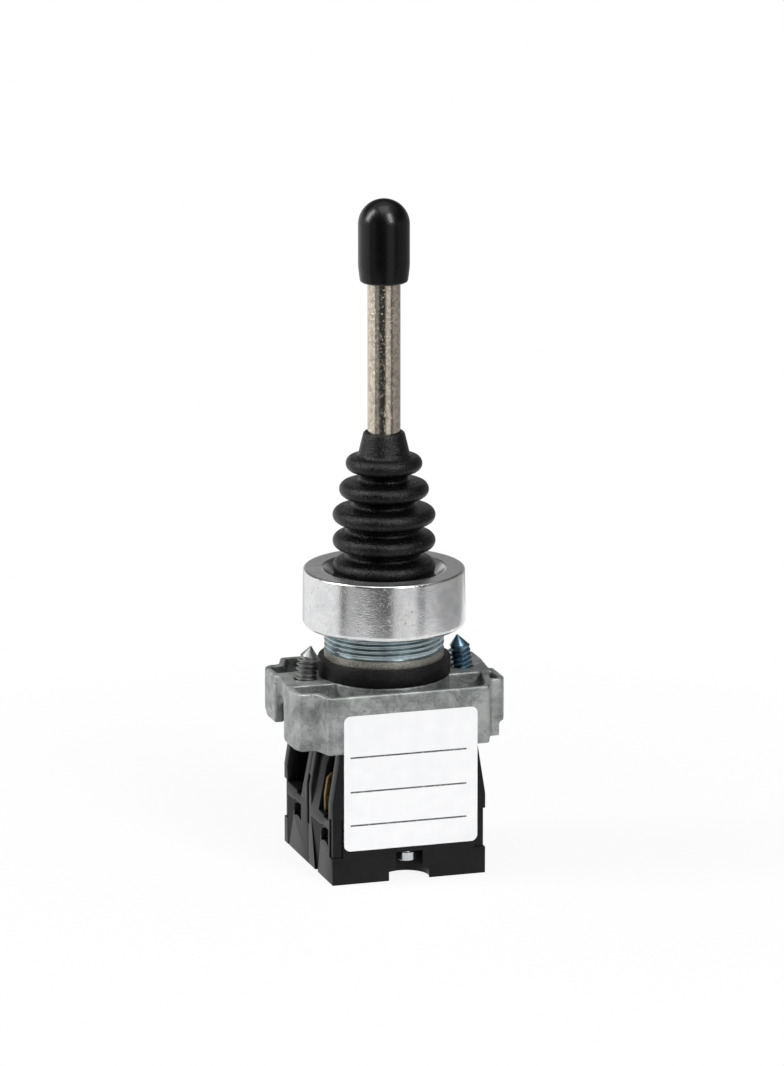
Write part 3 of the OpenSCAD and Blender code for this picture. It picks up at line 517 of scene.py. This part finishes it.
boot = {
    "rolls": 5,
    "firstRoll": 0.3,         # height of the lowest roll's middle above the bezel
    "pitch": 4.8,
    "edges": (9.4, 9.4, 9.4, 8.2, 7.0),
    "rollRadius": 1.4,
    "grooveRadius": 0.8,
    "grooveDepth": 2.6,       # from the smaller of the two rolls beside it
    "ridge": 0.16,            # fine ridge round the bottom of each groove
    "thickness": 0.9,
    "flangeRadius": 10.6,
    "flangeHeight": 1.0,
    "flangeWidth": 2.2,
    "skirtRadius": 9.2,
    "skirtThickness": 1,
    "edge": 0.2,
    "topRadius": 3.75,
    "topLip": 0.35,
    "neckFoot": 4.65,
    "neckFrom": 2.1,          # above the top roll's middle
    "rodClearance": 0.03,
    "rollSteps": 12,
    "firstRollSteps": 9,
    "grooveSteps": 5,
    "steps": 160,
}


def bootProfile():
    low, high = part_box("boot")
    bottom, top = low.z / mm, high.z / mm
    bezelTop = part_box("bezel")[1].z / mm
    middles = [bezelTop + boot["firstRoll"] + i * boot["pitch"] for i in range(boot["rolls"])]
    r, g, edge, steps = boot["rollRadius"], boot["grooveRadius"], boot["edge"], boot["grooveSteps"]
    rim, skirt, neck, lip = boot["flangeRadius"], boot["skirtRadius"], boot["neckFoot"], boot["topRadius"]
    wall, skin = boot["skirtThickness"], boot["thickness"]
    flange = bottom + boot["flangeHeight"]
    outer = [
        (rim - edge, bottom), (rim, bottom + edge), (rim, flange - edge), (rim - edge, flange),
        (skirt + edge, flange), (skirt, flange + edge), (skirt, middles[0] - 1.2),
        (skirt - 0.12, middles[0] - 1),
    ]
    inner = [(rim - boot["flangeWidth"], bottom), (skirt - wall, flange), (skirt - wall, middles[0] - 1)]
    for i, middle in enumerate(middles):
        center = (boot["edges"][i] - r, middle)
        if i == 0:
            outer += arc(center, r, -40, 90, boot["firstRollSteps"])
        else:
            outer += arc(center, r, -90, 90, boot["rollSteps"])
        inner += [(boot["edges"][i] - skin, middle)]
        if i < boot["rolls"] - 1:
            floor = min(boot["edges"][i], boot["edges"][i + 1]) - boot["grooveDepth"]
            groove = (floor + g, middle + boot["pitch"] / 2)
            outer += arc(groove, g, 270, 192, steps)
            outer += [(floor + boot["ridge"], groove[1])]
            outer += arc(groove, g, 168, 90, steps)
            inner += [(floor - skin, groove[1] - 0.5), (floor - skin, groove[1] + 0.5)]
    foot = middles[-1] + boot["neckFrom"]
    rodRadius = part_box("lever_rod")[1].x / mm + boot["rodClearance"]
    outer += [
        (neck + 0.55, middles[-1] + r + 0.04), (neck + 0.18, foot - 0.4), (neck, foot),
        (lip + 0.1, top - 0.45), (lip, top - edge), (lip - edge, top),
        (rodRadius + boot["topLip"], top), (rodRadius, top - 0.25), (rodRadius, middles[-1] + 1.2),
    ]
    return outer + inner[::-1] + outer[:1]


bootSkin = lathe("bootSkin", bootProfile(), boot["steps"])
shadeSmooth(bootSkin, 50)
dress(bootSkin, "bootRubber")
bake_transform(bootSkin)
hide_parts("boot")
print("boot made")


# Lever: rod and knob

def smoothCopy(node, name, body):
    piece = copyOfNode(node, name)
    shadeSmooth(piece, 32)
    standIn(piece, body, node)
    return piece


def spunPiece(node, name, body, profile, steps, degrees=40):
    piece = lathe(name, profile, steps)
    shadeSmooth(piece, degrees)
    standIn(piece, body, node)
    return piece


rod = {"chamfer": 0.3, "steps": 96}


def makeRod():
    low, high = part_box("lever_rod")
    r, bottom, top, edge = high.x / mm, low.z / mm, high.z / mm, rod["chamfer"]
    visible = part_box("boot")[1].z / mm
    spunPiece("lever_rod", "polishedRod", "lever", [
        (0, bottom), (r - edge, bottom), (r, bottom + edge), (r, visible - 4), (r, visible),
        (r, visible + 10), (r, top - edge), (r - edge, top), (0, top),
    ], rod["steps"])


knob = {
    "draft": 0.3,
    "footHeight": 3.0,
    "footRound": 0.5,
    "socketEdge": 0.15,
    "socketClearance": 0.02,
    "domeSteps": 22,
    "steps": 112,
}


def makeKnob():
    low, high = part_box("knob")
    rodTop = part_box("lever_rod")[1]
    outer, bottom, top = high.x / mm, low.z / mm, high.z / mm
    foot, curl, edge = outer - knob["draft"], knob["footRound"], knob["socketEdge"]
    bore, socketTop = rodTop.x / mm + knob["socketClearance"], rodTop.z / mm + knob["socketClearance"]
    waist = bottom + knob["footHeight"]
    profile = [(bore, bottom + edge), (bore + edge, bottom), (foot - curl - 0.3, bottom)]
    profile += arc((foot - curl, bottom + curl), curl, -90, 0, 6)
    profile += [(foot + 0.12, bottom + 1.4), (outer - 0.03, waist - 0.2), (outer, waist + 0.3)]
    profile += [(outer, (bottom + top) / 2)]
    profile += arc((0, top - outer), outer, 0, 90, knob["domeSteps"])
    profile += [(0, socketTop), (bore, socketTop), (bore, bottom + edge)]
    spunPiece("knob", "knobCap", "lever", profile, knob["steps"], 60)


makeRod()
makeKnob()


# Bezel: a turned ring with a rolled rim and a dished mouth

bezel = {
    "bore": 11.02,
    "draft": 0.1,
    "footRound": 0.9,
    "rimRound": 0.4,
    "mouthRadius": 11.2,
    "mouthRound": 0.25,
    "mouthDepth": 2.1,
    "lipRadius": 9.6,
    "lipThickness": 1.0,
    "steps": 192,
}


def makeBezel():
    low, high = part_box("bezel")
    bottom, top, foot = low.z / mm, high.z / mm, high.x / mm
    crown = foot - bezel["draft"]
    curl, rim, soft = bezel["footRound"], bezel["rimRound"], bezel["mouthRound"]
    middle = (bottom + top) / 2
    dish = top - bezel["mouthDepth"]
    under = dish - bezel["lipThickness"]
    bore, mouth, lip = bezel["bore"], bezel["mouthRadius"], bezel["lipRadius"]
    profile = [(bore, bottom), (foot - curl - 0.25, bottom)]
    profile += arc((foot - curl, bottom + curl), curl, -90, 0, 8)
    profile += [(foot, bottom + curl + 0.2), (foot - 0.04, middle), (crown, top - rim - 0.15)]
    profile += arc((crown - rim, top - rim), rim, 0, 90, 6)
    profile += [
        (crown - rim - 0.2, top), (mouth + soft + 0.2, top), (mouth + soft, top),
        (mouth + 0.08, top - 0.06), (mouth - 0.08, top - 0.2), (lip + 0.9, top - 1.15),
        (lip + 0.15, dish + 0.1),
        (lip, dish - 0.05), (lip, under), (bore, under), (bore, bottom),
    ]
    spunPiece("bezel", "bezelRing", "root", profile, bezel["steps"], 60)


makeBezel()
print("lever and bezel made")


# Neck: a tube with a thread wound round it where the panel goes

neckThread = {
    "root": 10.38,
    "crest": 10.98,
    "pitch": 0.9,
    "turns": 4,
    "from": 40.0,        # heights of the turned-down length
    "to": 44.7,
    "edge": 0.12,
    "runOut": 0.55,      # first turn's middle above the lower end
    "endsAt": 100,       # degrees: where the ridge starts and stops, at the back
    "plainLoop": 38.4,
    "bore": 9.5,
    "tubeSteps": 160,
    "ridgeSteps": 120,
}


def makeNeck():
    low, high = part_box("neck")
    bottom, top, r = low.z / mm, high.z / mm, high.x / mm
    root, bore, edge = neckThread["root"], neckThread["bore"], neckThread["edge"]
    start, stop = neckThread["from"], neckThread["to"]
    tube = lathe("neckTube", [
        (bore, bottom), (r, bottom), (r, neckThread["plainLoop"]), (r, start - 0.5), (r, start - edge),
        (r - edge, start), (root, start + edge), (root, stop - 0.3), (r, stop), (r, top),
        (bore, top), (bore, bottom),
    ], neckThread["tubeSteps"])
    # the guide plate and the pin's bosses inside it come from the CAD node
    inside = copyOfNode("neck", "neckInside")
    reach = bore + 0.15
    keep = lathe("insideCutter", [(0, bottom - 1), (reach, bottom - 1), (reach, top + 1), (0, top + 1)], 96)
    applyModifier(inside, "BOOLEAN", object=keep, operation="INTERSECT", solver="EXACT")
    bpy.data.objects.remove(keep)
    pinLow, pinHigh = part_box("pivot_pin")
    deselectAll()
    bpy.ops.mesh.primitive_cylinder_add(
        vertices=32, radius=(pinHigh.z - pinLow.z) / 2 + 0.02 * mm, depth=3 * high.x,
        location=(0, 0, (pinHigh.z + pinLow.z) / 2), rotation=(0, math.pi / 2, 0),
    )
    cutAway(tube, settle(bpy.context.object, "pinCutter"))
    ridge = threadAround(
        "neckRidge", root - 0.05, neckThread["crest"], neckThread["pitch"],
        start + neckThread["runOut"], neckThread["turns"], neckThread["ridgeSteps"],
    )
    ridge.rotation_euler = (0, 0, math.radians(neckThread["endsAt"]))
    neck = joinAll([tube, inside, ridge], "threadedNeck")
    shadeSmooth(neck, 32)
    standIn(neck, "root", "neck")


makeNeck()
print("neck made")


# Sealing ring: a strip bent round the neck, which shows slight flats

ring = {"steps": 44, "edge": 0.22, "relief": 0.06, "clearance": 0.02}


def makeRing():
    low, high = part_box("sealing_ring")
    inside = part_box("neck")[1].x / mm + ring["clearance"]
    outside, bottom, top, edge = high.x / mm, low.z / mm, high.z / mm, ring["edge"]
    bulge = outside - ring["relief"]
    strip = lathe("sealStrip", [
        (inside, bottom), (outside - edge, bottom), (bulge, bottom + 0.08), (outside, bottom + edge),
        (outside, top - edge), (bulge, top - 0.08), (outside - edge, top), (inside, top), (inside, bottom),
    ], ring["steps"])
    shadeSmooth(strip, 32)
    standIn(strip, "root", "sealing_ring")


makeRing()


# Clamp screws: a cone point, a metric thread and a cross recess in the head

clampScrew = {
    "core": 1.5,
    "crest": 2.0,
    "pitch": 0.84,
    "lean": 9.5,         # degrees towards the lever axis
    "reach": 6.1,        # above the collar's top
    "cone": 1.9,
    "below": 5.7,        # shank below the collar's top
    "outside": 4,        # from the neck's side to the screw's middle
    "headRadius": 2.4,
    "headHeight": 2.2,
    "crossWidth": 0.8,
    "crossDepth": 1.2,
    "steps": 64,
    "threadSteps": 40,
}


def cutCross(piece, low, length, width, depth, fromAngle=0):
    # two slots across each other, up from the height low
    for angle in (fromAngle, fromAngle + 90):
        deselectAll()
        bpy.ops.mesh.primitive_cube_add(size=mm, location=(0, 0, low * mm))
        slot = bpy.context.object
        slot.scale = (length, width, 2 * depth)
        slot.rotation_euler = (0, 0, math.radians(angle))
        cutAway(piece, settle(slot, "crossCutter"))


def makeScrew(name, sideX, finish):
    core, pitch, reach, head = (clampScrew[key] for key in ("core", "pitch", "reach", "headRadius"))
    shoulder = reach - clampScrew["cone"]
    headTop = -clampScrew["below"]
    headLow = headTop - clampScrew["headHeight"]
    shank = lathe(name, [
        (0, headLow), (head - 0.3, headLow), (head, headLow + 0.35), (head, headTop), (core, headTop),
        (core, shoulder - 0.2), (core + 0.15, shoulder), (0.15, reach - 0.1), (0, reach),
    ], clampScrew["steps"])
    cutCross(shank, headLow, 3 * head, clampScrew["crossWidth"], clampScrew["crossDepth"])
    turns = int((shoulder - headTop) / pitch)
    ridge = threadAround(
        name + "Ridge", core - 0.04, clampScrew["crest"], pitch,
        shoulder - pitch * (turns - 0.45), turns - 1, clampScrew["threadSteps"],
    )
    screw = joinAll([shank, ridge], name)
    lean = math.radians(-clampScrew["lean"])
    screw.rotation_euler = (0, lean if sideX > 0 else -lean, 0)
    screw.location = (sideX * mm, 0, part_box("collar")[1].z)
    settle(screw, name)
    shadeSmooth(screw, 32)
    dress(screw, finish)
    return screw


def makeClampScrews():
    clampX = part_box("neck")[1].x / mm + clampScrew["outside"]
    left = makeScrew("clampScrewLeft", -clampX, "screwSteel")
    right = makeScrew("clampScrewRight", clampX, "screwBlued")
    both = joinAll([left, right], "conePointScrews")
    shadeSmooth(both, 32)
    standIn(both, "root", "clamp_screws")


makeClampScrews()
print("ring and screws made")


# Collar: the casting, remeshed so that its edges are soft

casting = {"voxel": 0.23, "smoothing": 4}


def makeCollar():
    body = copyOfNode("collar", "castCollar")
    applyModifier(body, "REMESH", mode="VOXEL", voxel_size=casting["voxel"] * mm, adaptivity=0)
    applyModifier(body, "SMOOTH", factor=0.5, iterations=casting["smoothing"])
    shadeSmooth(body, 60)
    standIn(body, "root", "collar")


makeCollar()
print("collar made")


# Contact blocks and their metal: copies with small rounded edges

bevels = {"sharp": 32, "segments": 2, "least": 3}   # degrees, rings, and bevel widths a face must span


def softenEdges(piece, width):
    # bevels the outer edges between faces that are wide enough to take it
    least = bevels["least"] * width * mm
    makeActive(piece)
    bpy.ops.object.mode_set(mode="EDIT")
    bpy.ops.mesh.select_mode(type="EDGE")
    bpy.ops.mesh.select_all(action="DESELECT")
    mesh = bmesh.from_edit_mesh(piece.data)
    wide = {}
    for face in mesh.faces:
        longest = max(edge.calc_length() for edge in face.edges)
        wide[face] = face.calc_area() / longest > least
    for edge in mesh.edges:
        if len(edge.link_faces) == 2 and edge.is_convex and edge.calc_length() > least:
            turned = edge.calc_face_angle() > math.radians(bevels["sharp"])
            if turned and all(wide[face] for face in edge.link_faces):
                edge.select_set(True)
    bmesh.update_edit_mesh(piece.data)
    bpy.ops.mesh.bevel(
        offset=width * mm, offset_type="OFFSET", segments=bevels["segments"], profile=0.5,
        clamp_overlap=False,
    )
    leaveEdit()
    shadeSmooth(piece, 40)


# each node's piece and its bevel's width
softened = {
    "front_housing": ("frontBlock", 0.13),
    "rear_housing": ("rearBlock", 0.13),
    "front_terminals": ("frontBrass", 0.08),
    "rear_terminals": ("rearBrass", 0.08),
}
for node, (name, width) in softened.items():
    block = copyOfNode(node, name)
    softenEdges(block, width)
    standIn(block, "root", node)
smoothCopy("terminal_screws", "terminalScrewSet", "root")


# Block screws: small cheese heads with a cross recess that stays inside the rim

blockScrew = {
    "headRadius": 1.64,
    "headHeight": 1.5,
    "edge": 0.12,
    "shank": 1.2,
    "tip": 0.4,
    "crossLength": 2.1,
    "crossWidth": 0.5,
    "crossDepth": 0.6,
    "crossAngle": 20,
    "steps": 48,
}


def makeBlockScrews():
    low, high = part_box("block_screws")
    bottom, top = low.z / mm, high.z / mm
    r, edge, shank, tip = (blockScrew[key] for key in ("headRadius", "edge", "shank", "tip"))
    headTop = bottom + blockScrew["headHeight"]
    screw = lathe("blockScrew", [
        (0, bottom), (r - edge, bottom), (r, bottom + edge), (r, headTop), (shank, headTop),
        (shank, top - tip), (shank - tip, top), (0, top),
    ], blockScrew["steps"])
    cutCross(
        screw, bottom, blockScrew["crossLength"], blockScrew["crossWidth"], blockScrew["crossDepth"],
        blockScrew["crossAngle"],
    )
    middle = high.y - (high.x - low.x) / 2
    twin = duplicate(screw, "blockScrewRear")
    screw.location = (0, -middle, 0)
    twin.location = (0, middle, 0)
    settle(screw)
    settle(twin)
    pair = joinAll([screw, twin], "blockScrewPair")
    shadeSmooth(pair, 32)
    standIn(pair, "root", "block_screws")


makeBlockScrews()
print("blocks made")


# Label: bare, with three thin rules

label = {
    "rules": (23.9, 17.4, 11.1),     # their heights
    "ruleHalf": 0.15,
    "from": -11.2,
    "to": 10.9,
    "plain": (0.80, 0.80, 0.81),     # where a viewer can't show the paper's cloud and rules
    "paper": ((0.86, 0.865, 0.88), (0.90, 0.90, 0.905)),
    "ink": (0.05, 0.05, 0.055),
    "roughness": 0.45,
}


def makeLabelFinish():
    darker, lighter = label["paper"]
    material, tree, shader, inMm = startMaterial("labelPaper", label["plain"], 0, label["roughness"])
    cloud = addNoise(tree, inMm, 0.4, 3, 0.5)
    wear = addNoise(tree, inMm, 3.0, 4, 0.7)
    x, y, z = addAxes(tree, inMm.outputs["Vector"])
    paper = addRamp(tree, cloud, [(0.3, darker), (0.7, lighter)])
    leftEnd = addRange(tree, x, label["from"] - 0.05, label["from"] + 0.05, 0, 1)
    rightEnd = addRange(tree, x, label["to"] - 0.05, label["to"] + 0.05, 1, 0)
    rules = []
    for height in label["rules"]:
        off = addMath(tree, "ABSOLUTE", addMath(tree, "SUBTRACT", z, height))
        rules.append(addRange(tree, off, label["ruleHalf"] - 0.03, label["ruleHalf"] + 0.03, 1, 0))
    ink = rules[0]
    for rule in rules[1:]:
        ink = addMath(tree, "MAXIMUM", ink, rule)
    ink = addMath(tree, "MULTIPLY", ink, addMath(tree, "MULTIPLY", leftEnd, rightEnd))
    ink = addMath(tree, "MULTIPLY", ink, addRange(tree, wear, 0.34, 0.42, 0.4, 1))
    tree.links.new(mixColors(tree, ink, paper, label["ink"]), shader.inputs["Base Color"])
    addBump(tree, shader, wear, 0.15, 0.01)
    return material


finishes["labelPaper"] = makeLabelFinish()
labelSheet = copyOfNode("blank_label", "blankLabel")
shadeSmooth(labelSheet, 40)
dress(labelSheet, "labelPaper")
standIn(labelSheet, "root", "blank_label")
print("label made")


# Studio: camera, pale floor, soft light

view = {
    "imageHeight": 1066,
    "focal": 7364.9,      # in the same unit as imageHeight
    "distance": 1344.37,
    "pitch": 14.017,      # degrees down
    "turn": 17.388,       # degrees round from the label's face
    "aside": 1.453,
    "raise": 6.174,
    "aim": 55.1,          # height aimed at, before the raise
}
turn = math.radians(view["turn"])
towardsFront = Vector((-math.sin(turn), -math.cos(turn), 0))
towardsRight = Vector((math.cos(turn), -math.sin(turn), 0))


def makeCamera():
    pitch = math.radians(view["pitch"])
    look = Vector((math.sin(turn) * math.cos(pitch), math.cos(turn) * math.cos(pitch), -math.sin(pitch)))
    right = towardsRight
    up = right.cross(look)
    aim = Vector((0, 0, view["aim"]))
    place = right * view["aside"] + up * view["raise"] - look * view["distance"] + aim
    data = bpy.data.cameras.new("camera")
    camera = bpy.data.objects.new("camera", data)
    bpy.context.scene.collection.objects.link(camera)
    data.sensor_width = 36
    data.sensor_fit = "AUTO"
    data.lens = view["focal"] * data.sensor_width / view["imageHeight"]
    data.clip_start = 0.05
    data.clip_end = 20
    basis = Matrix((right, up, -look)).transposed().to_4x4()
    camera.matrix_world = Matrix.Translation(place * mm) @ basis
    bpy.context.scene.camera = camera


studio = {
    "floorSize": 320,
    "floorColor": (0.62, 0.62, 0.62),
    "floorRoughness": 0.9,
    "floorWhite": 0.9,       # share of plain white in the floor, as the camera and mirrors see it
    "floorFade": (0.35, 0.95),   # where that share grows to 1, as shares of half the floor
    # round the horizon, in degrees from the front towards the right: how bright the room is
    "room": [
        (-180, 0.55), (-165, 0.65), (-150, 1.0), (-75, 0.95), (-66, 0.8), (-63, 0.05), (-58, 0.05),
        (-54, 0.44), (-42, 0.40), (-32, 0.05), (10, 0.05), (16, 0.7), (46, 0.8), (51, 0.06), (59, 0.06),
        (66, 0.40), (120, 0.33), (160, 0.38), (180, 0.55),
    ],
    # the same by height, as the sine of the elevation: a share of the walls, and the light of the sky
    "bands": [(-1, 1.0), (0.08, 1.0), (0.24, 0.5), (0.36, 0.12), (1, 0.1)],
    "sky": [(-1, 0.0), (0.66, 0.0), (0.9, 0.6), (1, 0.65)],
    "roomLevel": 0.46,       # as a light on the object
    "lampTarget": 60,
    # azimuth from the front, elevation, distance, width, height, watts
    "lamps": {
        "leftLamp": (-84, 38, 620, 180, 460, 3.8),
        "rightLamp": (34, 40, 640, 170, 430, 3.8),
        "topLamp": (10, 82, 600, 340, 340, 1.0),
    },
}


def seenDirectly(tree, path):
    # 1 for camera, glossy and transmission rays
    seen = addMath(tree, "MAXIMUM", path.outputs["Is Camera Ray"], path.outputs["Is Glossy Ray"])
    return addMath(tree, "MAXIMUM", seen, path.outputs["Is Transmission Ray"])


def makeFloor():
    bpy.ops.mesh.primitive_plane_add(size=studio["floorSize"] * mm, location=(0, 0, 0))
    floor = settle(bpy.context.object, "floor")
    material = bpy.data.materials.new("floorPaper")
    material.use_nodes = True
    tree = material.node_tree
    shader = tree.nodes["Principled BSDF"]
    shader.inputs["Base Color"].default_value = (*studio["floorColor"], 1)
    shader.inputs["Roughness"].default_value = studio["floorRoughness"]
    glow = tree.nodes.new("ShaderNodeEmission")
    glow.inputs["Color"].default_value = (1, 1, 1, 1)
    path = tree.nodes.new("ShaderNodeLightPath")
    coords = tree.nodes.new("ShaderNodeTexCoord")
    length = tree.nodes.new("ShaderNodeVectorMath")
    length.operation = "LENGTH"
    tree.links.new(coords.outputs["Object"], length.inputs[0])
    edge = studio["floorSize"] / 2 * mm
    near, far = (share * edge for share in studio["floorFade"])
    white = addRange(tree, length.outputs["Value"], near, far, studio["floorWhite"], 1)
    share = addMath(tree, "MULTIPLY", seenDirectly(tree, path), white)
    mix = tree.nodes.new("ShaderNodeMixShader")
    tree.links.new(share, mix.inputs[0])
    tree.links.new(shader.outputs[0], mix.inputs[1])
    tree.links.new(glow.outputs[0], mix.inputs[2])
    tree.links.new(mix.outputs[0], tree.nodes["Material Output"].inputs["Surface"])
    floor.data.materials.append(material)


def makeWorld():
    world = bpy.data.worlds.new("studio")
    bpy.context.scene.world = world
    world.use_nodes = True
    tree = world.node_tree
    tree.nodes.clear()
    coords = tree.nodes.new("ShaderNodeTexCoord")
    x, y, z = addAxes(tree, coords.outputs["Generated"])
    forward, aside = (
        addMath(tree, "ADD", addMath(tree, "MULTIPLY", x, way.x), addMath(tree, "MULTIPLY", y, way.y))
        for way in (towardsFront, towardsRight)
    )
    around = addRange(tree, addMath(tree, "ARCTAN2", aside, forward), -math.pi, math.pi, 0, 1)
    height = addRange(tree, z, -1, 1, 0, 1)
    walls = addRamp(tree, around, [((angle + 180) / 360, (tone,) * 3) for angle, tone in studio["room"]])
    bands, sky = (
        addRamp(tree, height, [((level + 1) / 2, (tone,) * 3) for level, tone in studio[key]])
        for key in ("bands", "sky")
    )
    tone = mixColors(tree, 1, mixColors(tree, 1, walls, bands, "MULTIPLY"), sky, "ADD")
    path = tree.nodes.new("ShaderNodeLightPath")
    room = tree.nodes.new("ShaderNodeBackground")
    tree.links.new(tone, room.inputs["Color"])
    room.inputs["Strength"].default_value = studio["roomLevel"]
    # the white background: mirror rays also see the studio's dark cards and dimmer walls in it
    white = tree.nodes.new("ShaderNodeBackground")
    shown = mixColors(tree, path.outputs["Is Glossy Ray"], (1, 1, 1), tone)
    tree.links.new(shown, white.inputs["Color"])
    white.inputs["Strength"].default_value = 1
    mix = tree.nodes.new("ShaderNodeMixShader")
    out = tree.nodes.new("ShaderNodeOutputWorld")
    tree.links.new(seenDirectly(tree, path), mix.inputs[0])
    tree.links.new(room.outputs[0], mix.inputs[1])
    tree.links.new(white.outputs[0], mix.inputs[2])
    tree.links.new(mix.outputs[0], out.inputs[0])


def makeLamp(name, azimuth, elevation, distance, width, height, power):
    data = bpy.data.lights.new(name, "AREA")
    data.shape = "RECTANGLE"
    data.size, data.size_y = width * mm, height * mm
    data.energy = power
    lamp = bpy.data.objects.new(name, data)
    bpy.context.scene.collection.objects.link(lamp)
    a, e = math.radians(azimuth), math.radians(elevation)
    level = towardsFront * math.cos(a) + towardsRight * math.sin(a)
    away = level * math.cos(e) + Vector((0, 0, math.sin(e)))
    target = Vector((0, 0, studio["lampTarget"] * mm))
    lamp.location = target + away * distance * mm
    lamp.rotation_euler = (target - lamp.location).to_track_quat("-Z", "Y").to_euler()


makeCamera()
makeFloor()
makeWorld()
for name, values in studio["lamps"].items():
    makeLamp(name, *values)
bpy.context.scene.view_settings.view_transform = "Standard"
print("studio set")
